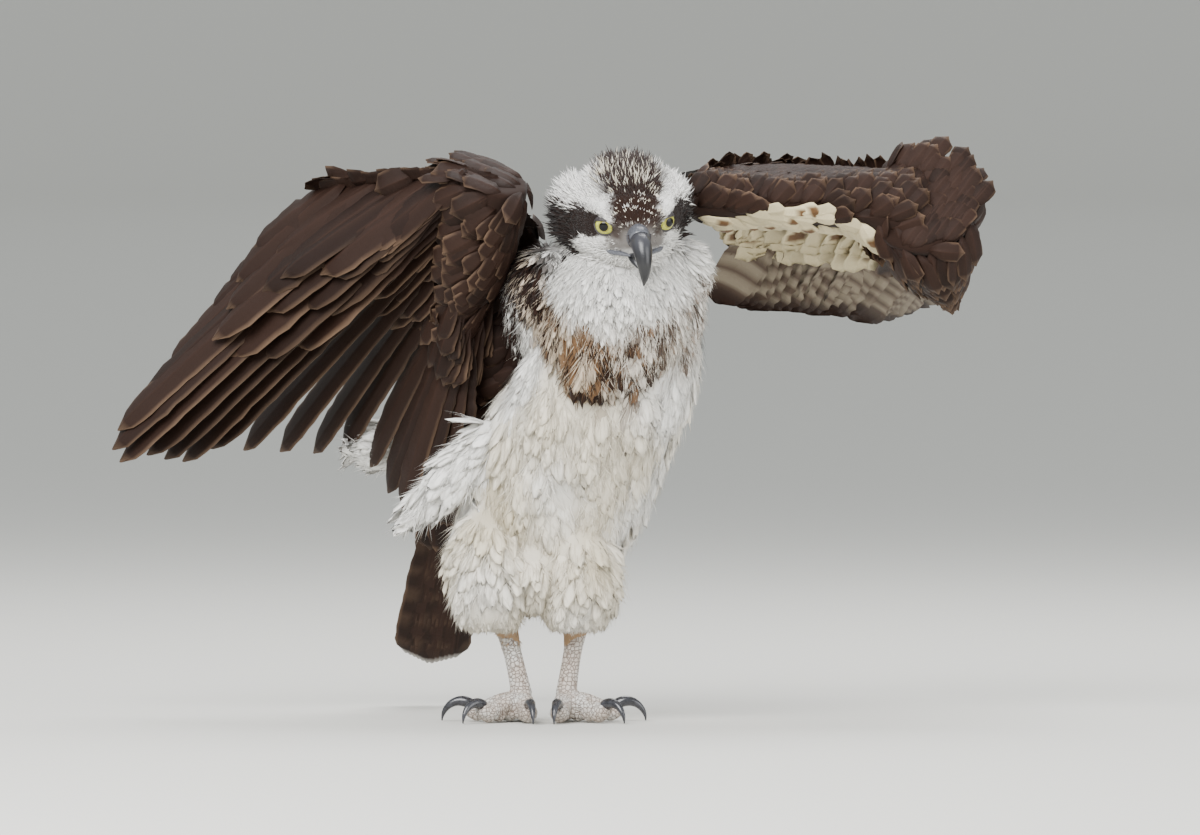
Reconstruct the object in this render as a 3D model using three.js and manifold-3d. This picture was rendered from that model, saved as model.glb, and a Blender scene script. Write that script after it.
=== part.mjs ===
// A life-size osprey, standing, with both wings half open and its plumage shaken loose.
// Millimetres, +Z up. The bird faces -Y, and +X is the bird's own left side.
import * as THREE from 'three';
import { mergeVertices } from 'three/addons/utils/BufferGeometryUtils.js';
import Module from 'manifold-3d';

const wasm = await Module();
wasm.setup();

// What becomes the origin. The sizes below are measured from a point on the ground between the feet.
const ORIGIN = [-4, 170, 0];

// Clearance that every node keeps from the node it meets.
const GAP = 0.35;

// Head: centre of the skull, and how it is turned, tipped and tilted (degrees).
const HEAD_CENTRE = [60, -48, 378];
const HEAD_YAW = 14;
const HEAD_PITCH = 28;
const HEAD_TILT = 4;
const EYE = { forward: 19, side: 22, up: 7.5, radius: 8 };

// Rings of the head along its own forward axis: forward, centre height, half width, half height.
const HEAD_RINGS = [
  [-62, -9, 15, 13], [-54, -7, 35, 26], [-40, -4, 47, 33], [-24, -2, 50, 36], [-8, -1, 47, 37],
  [6, -1, 41, 35], [16, -1, 34, 30], [25, -3, 25, 22], [32, -5, 15, 15], [36, -6, 8, 8],
];
// Rings of the neck and of the trunk: height, sideways, depth, half width, half depth.
const NECK_RINGS = [
  [243, 40, -34, 24, 20], [258, 42, -31, 48, 42], [288, 48, -26, 61, 53], [320, 54, -24, 62, 55],
  [346, 58, -12, 58, 46], [370, 58, 4, 50, 34], [392, 56, 10, 38, 26], [408, 54, 12, 20, 16],
];
const TRUNK_RINGS = [
  [86, -8, 24, 30, 26], [100, -8, 28, 60, 50], [130, -4, 33, 72, 66], [168, 8, 30, 80, 76],
  [205, 20, 22, 83, 79], [242, 35, 12, 81, 76], [280, 47, 5, 76, 70], [316, 55, 2, 71, 62],
  [346, 57, 10, 64, 54], [370, 54, 20, 50, 42], [386, 50, 24, 26, 24],
];
const THIGH_RINGS = [
  [62, 0, -4, 15, 14], [68, 0, -4, 27, 27], [84, 0, -2, 35, 36], [108, 0, 2, 38, 42],
  [134, 0, 8, 35, 44], [158, 0, 14, 26, 34], [170, 0, 16, 12, 16],
];

// Legs and feet. Toe directions are degrees from straight ahead, positive to the bird's left.
const LEFT_LEG = { thigh: 21, ankle: [13, 2, 26], knee: [24, 6, 84], toes: [-9, 44, 92, 176] };
const RIGHT_LEG = { thigh: -43, ankle: [-20, 2, 26], knee: [-36, 6, 84], toes: [9, -44, -92, -176] };
const TOE_LENGTHS = [38, 45, 42, 32];
// Claws: radius of the bend, how far the root is sunk back and lifted, and the turn along it.
const CLAW_BEND = 14;
const CLAW_ROOT = [3, 2.5];
const CLAW_CLEAR = 0.25;
const CLAW_TURN = [120, 0];
const CLAW_RADII = [4.2, 4, 3.3, 2.5, 1.6, 0.6];

// Tail: root, tip of the middle feathers and the direction the feathers are spread in.
const TAIL_ROOT = [-66, 132, 190];
const TAIL_TIP = [-92, 262, 28];
const TAIL_FEATHERS = 12;
const TAIL_SPREAD = 38;

// Wings: joints of the arm, the upper side's facing over the arm and over the hand, and the tips
// that the secondaries (from the elbow outward) and the primaries (from the innermost) reach.
const WINGS = {
  right: {
    shoulder: [-14, 30, 370], elbow: [-156, 78, 402], wrist: [-42, -34, 408], hand: [-62, 14, 298],
    facing: [[-0.5, -0.62, 0.6], [-0.62, -0.78, -0.05]], lean: -15, bulk: [34, 29, 13],
    secondaries: [[-196, 114, 384], [-246, 114, 336], [-289, 106, 281], [-340, 88, 222], [-318, 98, 205],
      [-276, 114, 207]],
    primaries: [[-248, 134, 208], [-206, 152, 203], [-172, 146, 204], [-142, 108, 178], [-122, 72, 158],
      [-97, 52, 168], [-72, 40, 192]],
  },
  left: {
    shoulder: [100, 16, 392], elbow: [188, 108, 397], wrist: [279, -8, 388], hand: [292, 90, 350],
    facing: [[0.05, 0.3, 0.95], [0.12, 0.16, 0.98]], lean: -15, bulk: [46, 40, 15],
    secondaries: [[130, 236, 322], [152, 262, 318], [180, 274, 317], [206, 268, 318], [228, 258, 320]],
    primaries: [[238, 292, 314], [242, 340, 316], [250, 386, 318], [260, 424, 320], [274, 432, 324],
      [290, 400, 330]],
  },
};
const PRIMARIES = 10;
const SECONDARIES = 11;
const ARM_PAD = 18;
const ARM_DEPTH = 27;
const WING_ARCH = 0.05;

const V = (p) => new THREE.Vector3(...p);
const lerp = (a, b, t) => a.clone().lerp(b, t);
const rad = THREE.MathUtils.degToRad;
const curveOf = (points) => new THREE.CatmullRomCurve3(points, false, 'centripetal');

// The value of a row of rings at a share t of the way along it, each column smoothly joined.
function ringAt(rings, t) {
  const s = t * (rings.length - 1);
  const i = Math.min(rings.length - 2, Math.floor(s));
  const before = rings[Math.max(0, i - 1)];
  const after = rings[Math.min(rings.length - 1, i + 2)];
  const u = s - i;
  return rings[i].map((b, k) => {
    const [a, c, d] = [before[k], rings[i + 1][k], after[k]];
    return b + 0.5 * u * (c - a + u * (2 * a - 5 * b + 4 * c - d + u * (3 * (b - c) + d - a)));
  });
}

// A closed cylinder with every vertex moved: place(share along, angle, share of radius).
function shaped(around, along, place) {
  const geometry = new THREE.CylinderGeometry(1, 1, 1, around, along);
  const at = geometry.getAttribute('position');
  for (let i = 0; i < at.count; i++) {
    const reach = Math.min(1, Math.hypot(at.getX(i), at.getZ(i)));
    const p = place(at.getY(i) + 0.5, Math.atan2(at.getZ(i), at.getX(i)), reach);
    at.setXYZ(i, p.x, p.y, p.z);
  }
  return solid(geometry);
}

// A three.js geometry as a manifold solid with its faces pointing out.
function solid(geometry) {
  const bare = new THREE.BufferGeometry();
  bare.setAttribute('position', geometry.getAttribute('position'));
  bare.setIndex(geometry.index);
  const merged = mergeVertices(bare, 1e-3);
  const triVerts = new Uint32Array(merged.index.array);
  const vertProperties = merged.getAttribute('position').array;
  const make = () => new wasm.Manifold(new wasm.Mesh({ numProp: 3, vertProperties, triVerts }));
  let made = make();
  if (made.volume() < 0) {
    for (let i = 0; i < triVerts.length; i += 3) {
      [triVerts[i + 1], triVerts[i + 2]] = [triVerts[i + 2], triVerts[i + 1]];
    }
    made = make();
  }
  return made;
}

const union = (solids) => solids.reduce((all, one) => all.add(one));
const cutBy = (body, cutters) => cutters.reduce((left, cutter) => left.subtract(cutter), body);

// The largest closed surface of a solid: loose scraps go, and sealed hollows are filled.
function largest(body) {
  return body.decompose().reduce((a, b) => (b.volume() > a.volume() ? b : a));
}

function geometryOf(body) {
  const mesh = body.getMesh();
  const geometry = new THREE.BufferGeometry();
  geometry.setAttribute('position', new THREE.BufferAttribute(new Float32Array(mesh.vertProperties), 3));
  geometry.setIndex(new THREE.BufferAttribute(new Uint32Array(mesh.triVerts), 1));
  geometry.computeVertexNormals();
  return geometry;
}

// A body of level rings: height, sideways, depth, half width, half depth.
function levelBody(rings, around, along, grow = 0) {
  return shaped(around, along, (t, angle, reach) => {
    const [z, x, y, w, d] = ringAt(rings, t);
    const end = grow * (t < 0.001 ? -1 : t > 0.999 ? 1 : 0);
    return new THREE.Vector3(
      x + (w + grow) * reach * Math.cos(angle),
      y + (d + grow) * reach * Math.sin(angle),
      z + end,
    );
  });
}

// A round or oval tube along points, with a radius for each point. flat squeezes it along one axis.
function tube(points, radii, around, along, grow = 0, flat = 1, axis = new THREE.Vector3(0, 0, 1)) {
  const curve = curveOf(points);
  const rings = radii.map((r) => [r]);
  return shaped(around, along, (t, angle, reach) => {
    const tangent = curve.getTangent(t);
    const across = new THREE.Vector3().crossVectors(tangent, axis).normalize();
    const up = new THREE.Vector3().crossVectors(across, tangent).normalize();
    const r = (Math.max(0.2, ringAt(rings, t)[0]) + grow) * reach;
    const ends = grow * (t < 0.001 ? -1 : t > 0.999 ? 1 : 0);
    return curve.getPoint(t).addScaledVector(across, r * Math.cos(angle))
      .addScaledVector(up, r * flat * Math.sin(angle)).addScaledVector(tangent, ends);
  });
}

function ball(centre, radii, wide = 16, tall = 10) {
  const geometry = new THREE.SphereGeometry(1, wide, tall);
  geometry.scale(...radii);
  geometry.translate(...centre);
  return solid(geometry);
}

// Where along a feather its width is set, and the width there as a share of the whole.
const LONG_SHAPE = [[0, 0.16], [0.42, 0.84], [0.88, 0.84], [1, 0.3]];
const SHORT_SHAPE = [[0, 0.24], [0.5, 0.95], [0.86, 0.8], [1, 0.3]];

// A feather as a thin closed vane. It starts at root, ends at tip and lies square to facing, turned
// by lean about its own line. arch bends its far end away from facing. Both faces share diagonals.
function vane({ root, tip, facing, width, thick = 1, shape = SHORT_SHAPE, arch = 0.04, lean = 0, grow = 0 }) {
  const along = tip.clone().sub(root);
  const length = along.length();
  along.normalize();
  const across = new THREE.Vector3().crossVectors(along, facing).normalize().applyAxisAngle(along, lean);
  const up = new THREE.Vector3().crossVectors(across, along).normalize();
  const positions = [];
  for (const [t, share] of shape) {
    const half = share * width * 0.5 + grow;
    const deep = thick * (0.5 - 0.18 * t) + grow;
    const ends = t === 0 ? -grow : t === 1 ? grow : 0;
    const bend = -t * t * arch * length;
    const middle = root.clone().addScaledVector(along, length * t + ends).addScaledVector(up, bend);
    for (const [s, u] of [[-1, 1], [1, 1], [1, -1], [-1, -1]]) {
      const p = middle.clone().addScaledVector(across, s * half).addScaledVector(up, u * deep);
      positions.push(p.x, p.y, p.z);
    }
  }
  const last = 4 * (shape.length - 1);
  const faces = [0, 2, 1, 0, 3, 2, last, last + 1, last + 2, last, last + 2, last + 3];
  for (let i = 0; i < last; i += 4) {
    faces.push(i, i + 1, i + 5, i, i + 5, i + 4, i + 3, i + 6, i + 2, i + 3, i + 7, i + 6);
    faces.push(i + 1, i + 2, i + 6, i + 1, i + 6, i + 5, i, i + 4, i + 7, i, i + 7, i + 3);
  }
  const geometry = new THREE.BufferGeometry();
  geometry.setAttribute('position', new THREE.Float32BufferAttribute(positions, 3));
  geometry.setIndex(faces);
  return solid(geometry);
}

// The head's own axes: forward along the bill, side to the bird's left, and up through the crown.
const forward = new THREE.Vector3(
  Math.sin(rad(HEAD_YAW)) * Math.cos(rad(HEAD_PITCH)),
  -Math.cos(rad(HEAD_YAW)) * Math.cos(rad(HEAD_PITCH)),
  -Math.sin(rad(HEAD_PITCH)),
);
const side = new THREE.Vector3(Math.cos(rad(HEAD_YAW)), Math.sin(rad(HEAD_YAW)), 0)
  .applyAxisAngle(forward, rad(HEAD_TILT));
const crown = new THREE.Vector3().crossVectors(forward, side).normalize();
const inHead = (f, s, u) => V(HEAD_CENTRE).addScaledVector(forward, f).addScaledVector(side, s)
  .addScaledVector(crown, u);

function headCore(grow = 0) {
  return shaped(18, 11, (t, angle, reach) => {
    const [f, u, w, h] = ringAt(HEAD_RINGS, t);
    const ends = grow * (t < 0.001 ? -1 : t > 0.999 ? 1 : 0);
    const across = (w + grow) * reach * Math.cos(angle);
    return inHead(f + ends, across, u + (h + grow) * reach * Math.sin(angle));
  });
}

function eyeBall(sign, grow = 0) {
  const r = EYE.radius + grow;
  return ball(inHead(EYE.forward, sign * EYE.side, EYE.up).toArray(), [r, r, r], 12, 8);
}

// The upper bill: cere, ridge and hook.
function upperBill(grow = 0) {
  const spine = [[25, 0], [34, 1.5], [42, 1.5], [50, -2.5], [56.5, -9.5], [59, -18], [57.5, -26]];
  const radii = [9.5, 9.2, 8.2, 7, 5.2, 3, 0.7];
  return tube(spine.map(([f, u]) => inHead(f, 0, u)), radii, 12, 11, grow, 1.12, side);
}

function lowerBill(grow = 0) {
  const spine = [[24, -11.5], [34, -13], [42, -14.5], [48, -16.5]];
  return tube(spine.map(([f, u]) => inHead(f, 0, u)), [8.5, 8, 6.2, 2.4], 12, 6, grow, 0.5, crown);
}

// The fleshy lip that runs from the bill back to the corner of the mouth.
function lip(sign) {
  const points = [[38, 6.5, -10], [31, 14, -11.5], [23, 21, -13.5]];
  return tube(points.map(([f, s, u]) => inHead(f, sign * s, u)), [1.6, 2.4, 2.2], 6, 4);
}

function brow(sign) {
  const points = [[31, 9, 9], [25, 19, 13.5], [14, 28, 15.5], [0, 36, 15]];
  return tube(points.map(([f, s, u]) => inHead(f, sign * s, u)), [2.5, 4.6, 4.4, 2], 7, 5);
}

// The lids: a ring of skin that stands round the front of the eye.
function lids(sign) {
  const centre = inHead(EYE.forward, sign * EYE.side, EYE.up);
  const gaze = forward.clone().multiplyScalar(0.55).addScaledVector(side, sign * 0.83).normalize();
  const ring = new THREE.TorusGeometry(EYE.radius * 0.86, 1.7, 4, 10);
  ring.applyQuaternion(new THREE.Quaternion().setFromUnitVectors(new THREE.Vector3(0, 0, 1), gaze));
  ring.translate(...centre.addScaledVector(gaze, EYE.radius * 0.5).toArray());
  return solid(ring);
}

// The short ragged crest on the crown and nape, as overlapping vanes in rows.
function crest() {
  const vanes = [];
  for (let row = 0; row < 3; row++) {
    for (const k of row === 1 ? [-1, 1] : [-1, 0, 1]) {
      const back = 2 - row * 13;
      const lean = rad(k * 26 + (row % 2) * 12);
      const out = side.clone().multiplyScalar(Math.sin(lean)).addScaledVector(crown, Math.cos(lean));
      const root = inHead(back, 0, 0).addScaledVector(out, 31 + 2.5 * Math.abs(k));
      const tip = root.clone().addScaledVector(forward, -17 - 2 * row)
        .addScaledVector(out, 7.5 - row * 1.5 - Math.abs(k) * 1.5);
      vanes.push(vane({ root, tip, facing: out, width: 17, arch: -0.05, lean: rad(8) }));
    }
  }
  return vanes;
}

const eyes = { eye_left: eyeBall(1), eye_right: eyeBall(-1) };
const bills = { bill_upper: upperBill(), bill_lower: cutBy(lowerBill(), [upperBill(GAP)]) };
const nostrils = [1, -1].map((s) => ball(inHead(36, s * 8.6, 3.5).toArray(), [1.6, 2.6, 1.5], 8, 6));
bills.bill_upper = cutBy(bills.bill_upper, nostrils);

const face = [1, -1].flatMap((sign) => [lip(sign), brow(sign), lids(sign)]);
const headWhole = union([headCore(), ...face, ...crest()]);
const headGrown = headCore(GAP);
const neckGrown = levelBody(NECK_RINGS, 24, 9, GAP);
const faceGrown = [upperBill(GAP), lowerBill(GAP), eyeBall(1, GAP), eyeBall(-1, GAP)];
const head = largest(cutBy(headWhole, [...faceGrown, neckGrown.subtract(headGrown)]));

const neck = largest(cutBy(levelBody(NECK_RINGS, 24, 9), [headGrown]));

// The trunk with the loosened plumage of its shoulder, flank and rump.
function trunkBody(grow = 0) {
  const rumpLine = [[-10, 50, 205], [-40, 90, 206], [-68, 128, 192]].map(V);
  const rump = tube(rumpLine, [58, 48, 22], 16, 8, grow, 0.78);
  const puff = [[-30, 74, 206], [-84, 124, 205], [-132, 148, 203], [-154, 154, 203]].map(V);
  const loose = tube(puff, [32, 32, 28, 10], 14, 8, grow, 0.9);
  const flankLine = [[-34, 2, 208], [-76, 4, 182], [-106, 6, 154], [-117, 8, 140]].map(V);
  const flank = tube(flankLine, [34, 25, 16, 5], 12, 8, grow, 0.7, new THREE.Vector3(0, 1, 0));
  const g = grow;
  const shoulder = ball([96, 8, 338], [34 + g, 42 + g, 33 + g], 12, 8);
  const breast = ball([0, 2, 312], [40 + g, 42 + g, 54 + g], 14, 8);
  const blade = ball([-24, 44, 306], [31 + g, 24 + g, 88 + g], 12, 8);
  const belly = ball([-11, -2, 112], [30 + g, 34 + g, 36 + g], 12, 8);
  return union([levelBody(TRUNK_RINGS, 24, 14, grow), rump, loose, flank, shoulder, breast, blade, belly]);
}

const trunkGrown = trunkBody(GAP);
const torso = largest(cutBy(trunkBody(), [neckGrown, headGrown]));

const thighRings = (leg) => THIGH_RINGS.map(([z, x, y, w, d]) => [z, x + leg.thigh, y, w, d]);
const thighOf = (leg, grow = 0) => levelBody(thighRings(leg), 16, 8, grow);

function shinOf(leg, grow = 0) {
  const [ankle, knee] = [V(leg.ankle), V(leg.knee)];
  const points = [ankle.clone().add(V([0, 0, -6])), lerp(ankle, knee, 0.45), knee];
  return tube(points, [8.2, 7.2, 10], 12, 6, grow, 1, new THREE.Vector3(0, 1, 0));
}

// A toe: an arched row of three pads that ends where its claw grows out.
function toePath(leg, k) {
  const heading = rad(leg.toes[k]);
  const out = new THREE.Vector3(Math.sin(heading), -Math.cos(heading), 0);
  const base = V(leg.ankle).setZ(0);
  const at = (reach, height) => base.clone().addScaledVector(out, reach).setZ(height);
  const n = TOE_LENGTHS[k];
  return { out, points: [at(0, 14), at(n * 0.33, 14.5), at(n * 0.62, 10), at(n * 0.82, 7.5), at(n, 12)] };
}

function clawOf(leg, k, grow = 0) {
  const { out, points } = toePath(leg, k);
  const base = points[4];
  const [first, last] = CLAW_TURN.map(rad);
  const steps = [];
  for (let i = 0; i <= 5; i++) {
    const turn = first + (last - first) * (i / 5);
    const reach = CLAW_BEND * (Math.cos(turn) - Math.cos(first)) - CLAW_ROOT[0];
    const step = base.clone().addScaledVector(out, reach);
    step.z += 1.05 * CLAW_BEND * (Math.sin(turn) - Math.sin(first)) + CLAW_ROOT[1];
    steps.push(step);
  }
  const along = new THREE.Vector3(-out.y, out.x, 0);
  const lift = CLAW_CLEAR - tube(steps, CLAW_RADII, 6, 6, 0, 1, along).boundingBox().min[2];
  return tube(steps, CLAW_RADII, 6, 6, grow, 1, along).translate([0, 0, lift]);
}

function footOf(leg) {
  const pads = [ball([leg.ankle[0], leg.ankle[1], 13], [13, 13, 14], 8, 6)];
  for (let k = 0; k < 4; k++) {
    const { points } = toePath(leg, k);
    pads.push(tube(points, [10, 8.4, 7.8, 9, 5.2], 7, 5));
  }
  const ground = new THREE.BoxGeometry(400, 400, 40);
  ground.translate(0, 0, -20);
  const claws = [0, 1, 2, 3].map((k) => clawOf(leg, k, GAP));
  return largest(cutBy(union(pads), [solid(ground), shinOf(leg, GAP), ...claws]));
}

// A wing's arm: a padded fold of skin between the shoulder, the elbow and the wrist.
function armCore(wing, grow = 0) {
  const [shoulder, elbow, wrist] = [wing.shoulder, wing.elbow, wing.wrist].map(V);
  const facing = V(wing.facing[0]).normalize();
  const front = curveOf([shoulder, lerp(shoulder, wrist, 0.5), wrist]);
  const back = curveOf([lerp(shoulder, elbow, 0.4), elbow, lerp(elbow, wrist, 0.6), wrist]);
  return shaped(12, 8, (t, angle, reach) => {
    const ahead = front.getPoint(t);
    const behind = back.getPoint(t);
    const half = ahead.distanceTo(behind) * 0.5;
    const near = Math.min(t, 0.94);
    const along = back.getPoint(near).sub(front.getPoint(near)).normalize();
    const ends = grow * (t < 0.001 ? -1 : t > 0.999 ? 1 : 0);
    const cap = Math.sqrt(1 - 0.92 * Math.max(0, Math.abs(t - 0.5) * 10 - 4) ** 2);
    return lerp(ahead, behind, 0.5)
      .addScaledVector(along, ((half + ARM_PAD) * cap + grow) * reach * Math.cos(angle))
      .addScaledVector(facing, (ARM_DEPTH * cap + grow) * reach * Math.sin(angle))
      .addScaledVector(front.getTangent(t), ends);
  });
}

function handCore(wing) {
  const [wrist, hand] = [V(wing.wrist), V(wing.hand)];
  const facing = V(wing.facing[1]).normalize();
  return tube([wrist, lerp(wrist, hand, 0.5), hand], wing.bulk, 14, 6, 0, 0.94, facing);
}

// One tier of vanes that overlap like slats, between a curve of roots and a curve of tips. share is
// how far toward the tips it reaches, and lift is its height over the flight feathers.
function tier(wing, { roots, tips, count, share = 1, width, lift, shape, faces, grow }) {
  const vanes = [];
  for (let i = 0; i < count; i++) {
    const t = i / (count - 1);
    const facing = lerp(V(faces[0]), V(faces[1]), t).normalize();
    const root = roots.getPoint(t).addScaledVector(facing, lift);
    const end = tips.getPoint(t).addScaledVector(facing, lift);
    const tip = root.clone().lerp(end, share * (1 + 0.03 * Math.sin(i * 2.4)));
    const lean = rad(wing.lean);
    vanes.push(vane({ root, tip, facing, width, shape, lean, arch: WING_ARCH * share, grow }));
  }
  return vanes;
}

// A row of roots that lies a share of the way from the forearm toward the leading edge.
function rootRow(wing, share) {
  const [shoulder, elbow, wrist] = [wing.shoulder, wing.elbow, wing.wrist].map(V);
  return curveOf([
    lerp(lerp(shoulder, elbow, 0.86), shoulder, share), lerp(elbow, lerp(shoulder, wrist, 0.3), share),
    lerp(lerp(elbow, wrist, 0.5), lerp(shoulder, wrist, 0.7), share), lerp(elbow, wrist, 0.93),
  ]);
}

// The upper side's facing where the arm ends and the hand begins.
const midFacing = (wing) => lerp(V(wing.facing[0]), V(wing.facing[1]), 0.5).toArray();

function wingArm(wing, grow = 0) {
  const tips = curveOf(wing.secondaries.map(V));
  const tiers = [
    { roots: rootRow(wing, 0), count: SECONDARIES, width: 38, lift: -6, shape: LONG_SHAPE },
    { roots: rootRow(wing, 0), count: 6, share: 0.58, width: 46, lift: 5 },
    { roots: rootRow(wing, 0.3), count: 5, share: 0.42, width: 46, lift: 14 },
    { roots: rootRow(wing, 0.62), count: 4, share: 0.34, width: 46, lift: 20 },
    { roots: rootRow(wing, 0), count: 3, share: 0.45, width: 42, lift: -16 },
  ];
  const faces = [wing.facing[0], midFacing(wing)];
  const vanes = tiers.flatMap((each) => tier(wing, { tips, faces, grow, ...each }));
  return union([armCore(wing, grow), ...vanes]);
}

function wingHand(wing) {
  const [wrist, hand] = [V(wing.wrist), V(wing.hand)];
  const tips = curveOf(wing.primaries.map(V));
  const roots = curveOf([lerp(wrist, hand, 0.05), lerp(wrist, hand, 0.5), lerp(wrist, hand, 0.97)]);
  const tiers = [
    { count: PRIMARIES, width: 34, lift: -6, shape: LONG_SHAPE },
    { count: 4, share: 0.42, width: 36, lift: 5 },
    { count: 2, share: 0.26, width: 28, lift: 13 },
  ];
  const faces = [midFacing(wing), wing.facing[1]];
  const vanes = tiers.flatMap((each) => tier(wing, { roots, tips, faces, grow: 0, ...each }));
  return union([handCore(wing), ...vanes]);
}

function tailNode() {
  const root = V(TAIL_ROOT);
  const tip = V(TAIL_TIP);
  const along = tip.clone().sub(root).normalize();
  const spread = new THREE.Vector3(1, 0, 0).addScaledVector(along, -along.x).normalize();
  const facing = new THREE.Vector3().crossVectors(spread, along).normalize();
  if (facing.y > 0) facing.negate();
  const start = root.clone().addScaledVector(along, -22);
  const end = root.clone().addScaledVector(along, 26);
  const parts = [tube([start, root, end], [26, 22, 8], 10, 4, 0, 0.62, facing)];
  for (let i = 0; i < TAIL_FEATHERS; i++) {
    const k = i / (TAIL_FEATHERS - 1) * 2 - 1;
    const from = root.clone().addScaledVector(spread, k * 12);
    const to = tip.clone().addScaledVector(spread, k * TAIL_SPREAD * 0.5)
      .addScaledVector(along, -9 * Math.abs(k));
    parts.push(vane({ root: from, tip: to, facing, width: 25, shape: LONG_SHAPE, lean: rad(8), arch: 0.03 }));
  }
  for (const k of [-1, 0, 1]) {
    const from = root.clone().addScaledVector(spread, k * 10).addScaledVector(facing, 6);
    const to = from.clone().lerp(tip, 0.4).addScaledVector(spread, k * 8).addScaledVector(facing, 7);
    parts.push(vane({ root: from, tip: to, facing, width: 20, lean: rad(8), arch: 0.02 }));
  }
  return union(parts);
}

const bodies = {
  head, neck, torso, ...eyes, ...bills,
};
const bodyGrown = [trunkGrown, neckGrown, headGrown];
const legGrown = [LEFT_LEG, RIGHT_LEG].map((leg) => thighOf(leg, GAP));

for (const [name, leg] of [['left', LEFT_LEG], ['right', RIGHT_LEG]]) {
  const others = name === 'left' ? [] : [legGrown[0]];
  bodies[`thigh_${name}`] = largest(cutBy(thighOf(leg), [trunkGrown, ...others]));
  bodies[`shin_${name}`] = largest(cutBy(shinOf(leg), [thighOf(leg, GAP), trunkGrown]));
  bodies[`foot_${name}`] = footOf(leg);
  ['inner', 'middle', 'outer', 'hind'].forEach((toe, k) => {
    bodies[`claw_${toe}_${name}`] = clawOf(leg, k);
  });
}

const tail = tailNode();
bodies.tail = largest(cutBy(tail, [trunkGrown, ...legGrown]));
for (const [name, wing] of Object.entries(WINGS)) {
  bodies[`wing_arm_${name}`] = largest(cutBy(wingArm(wing), [...bodyGrown, ...legGrown]));
  const handCutters = [...bodyGrown, ...legGrown, wingArm(wing, GAP)];
  bodies[`wing_hand_${name}`] = largest(cutBy(wingHand(wing), handCutters));
}

const BROWN = 0x3d2b22;
const WHITE = 0xf1ede2;
const LOOKS = {
  head: [WHITE, 0.9], neck: [WHITE, 0.9], torso: [WHITE, 0.9], thigh: [WHITE, 0.9],
  tail: [BROWN, 0.7], wing: [BROWN, 0.7], eye: [0xc9c23a, 0.15], bill: [0x45454f, 0.35],
  shin: [0xc9bfae, 0.7], foot: [0xc4bba9, 0.7], claw: [0x1d1c20, 0.3],
};

// The origin is on the ground, under the middle of the whole bird.
const bird = new THREE.Group();
bird.name = 'osprey';
bird.position.set(...ORIGIN.map((value) => -value));
for (const [name, body] of Object.entries(bodies)) {
  const [color, roughness] = LOOKS[name.split('_')[0]];
  const material = new THREE.MeshStandardMaterial({ color, roughness, metalness: 0 });
  const mesh = new THREE.Mesh(geometryOf(body), material);
  mesh.name = name;
  bird.add(mesh);
}

export default bird;
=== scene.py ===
import math

import bpy
import numpy as np
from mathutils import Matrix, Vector, kdtree


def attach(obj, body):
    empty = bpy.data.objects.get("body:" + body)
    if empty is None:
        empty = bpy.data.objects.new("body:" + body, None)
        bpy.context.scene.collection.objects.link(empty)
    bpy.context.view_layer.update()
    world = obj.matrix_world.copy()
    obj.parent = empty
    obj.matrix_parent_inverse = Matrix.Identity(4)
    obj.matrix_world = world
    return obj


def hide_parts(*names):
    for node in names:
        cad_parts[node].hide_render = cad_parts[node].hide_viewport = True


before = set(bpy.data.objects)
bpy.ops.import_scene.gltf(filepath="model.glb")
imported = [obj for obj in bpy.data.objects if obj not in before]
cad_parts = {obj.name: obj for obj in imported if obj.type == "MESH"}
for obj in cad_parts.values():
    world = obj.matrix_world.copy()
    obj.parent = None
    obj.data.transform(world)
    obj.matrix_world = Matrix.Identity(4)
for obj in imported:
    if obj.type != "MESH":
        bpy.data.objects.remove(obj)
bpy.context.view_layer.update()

# Skin
# The skin is one closed surface over the head, neck, trunk, thighs and the fleshy part of both wings.
# It lies under the plumage by the depth of the feathers. Rings and rods of flesh are laid down first,
# in millimetres from a point on the ground between the feet, then they are fused and smoothed.
ORIGIN = np.array([-4.0, 170.0, 0.0])


def unit(v):
    v = np.asarray(v, float)
    return v / np.maximum(np.linalg.norm(v, axis=-1, keepdims=True), 1e-9)


def along_row(rows, t):
    """Rows of numbers read at shares t of the way along them, smoothly joined."""
    rows = np.asarray(rows, float)
    s = np.clip(np.asarray(t, float), 0, 1) * (len(rows) - 1)
    i = np.clip(np.floor(s).astype(int), 0, len(rows) - 2)
    u = (s - i)[..., None]
    a, b = rows[np.maximum(i - 1, 0)], rows[i]
    c, d = rows[i + 1], rows[np.minimum(i + 2, len(rows) - 1)]
    return b + 0.5 * u * (c - a + u * (2 * a - 5 * b + 4 * c - d + u * (3 * (b - c) + d - a)))


def loft(centres, across, up, wide, deep, around):
    """A closed surface over a row of oval rings, as vertices and faces."""
    n = len(centres)
    angle = np.arange(around) * 2 * np.pi / around
    across, up = np.broadcast_to(across, (n, 3)), np.broadcast_to(up, (n, 3))
    ring = (centres[:, None] + across[:, None] * (wide[:, None] * np.cos(angle))[..., None]
            + up[:, None] * (deep[:, None] * np.sin(angle))[..., None])
    verts = np.vstack([ring.reshape(-1, 3), centres[:1], centres[-1:]])
    faces = []
    for i in range(n - 1):
        for j in range(around):
            k = (j + 1) % around
            faces.append((i * around + j, i * around + k, (i + 1) * around + k, (i + 1) * around + j))
    for j in range(around):
        k = (j + 1) % around
        faces.append((n * around, k, j))
        faces.append((n * around + 1, (n - 1) * around + j, (n - 1) * around + k))
    return verts, faces


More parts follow.
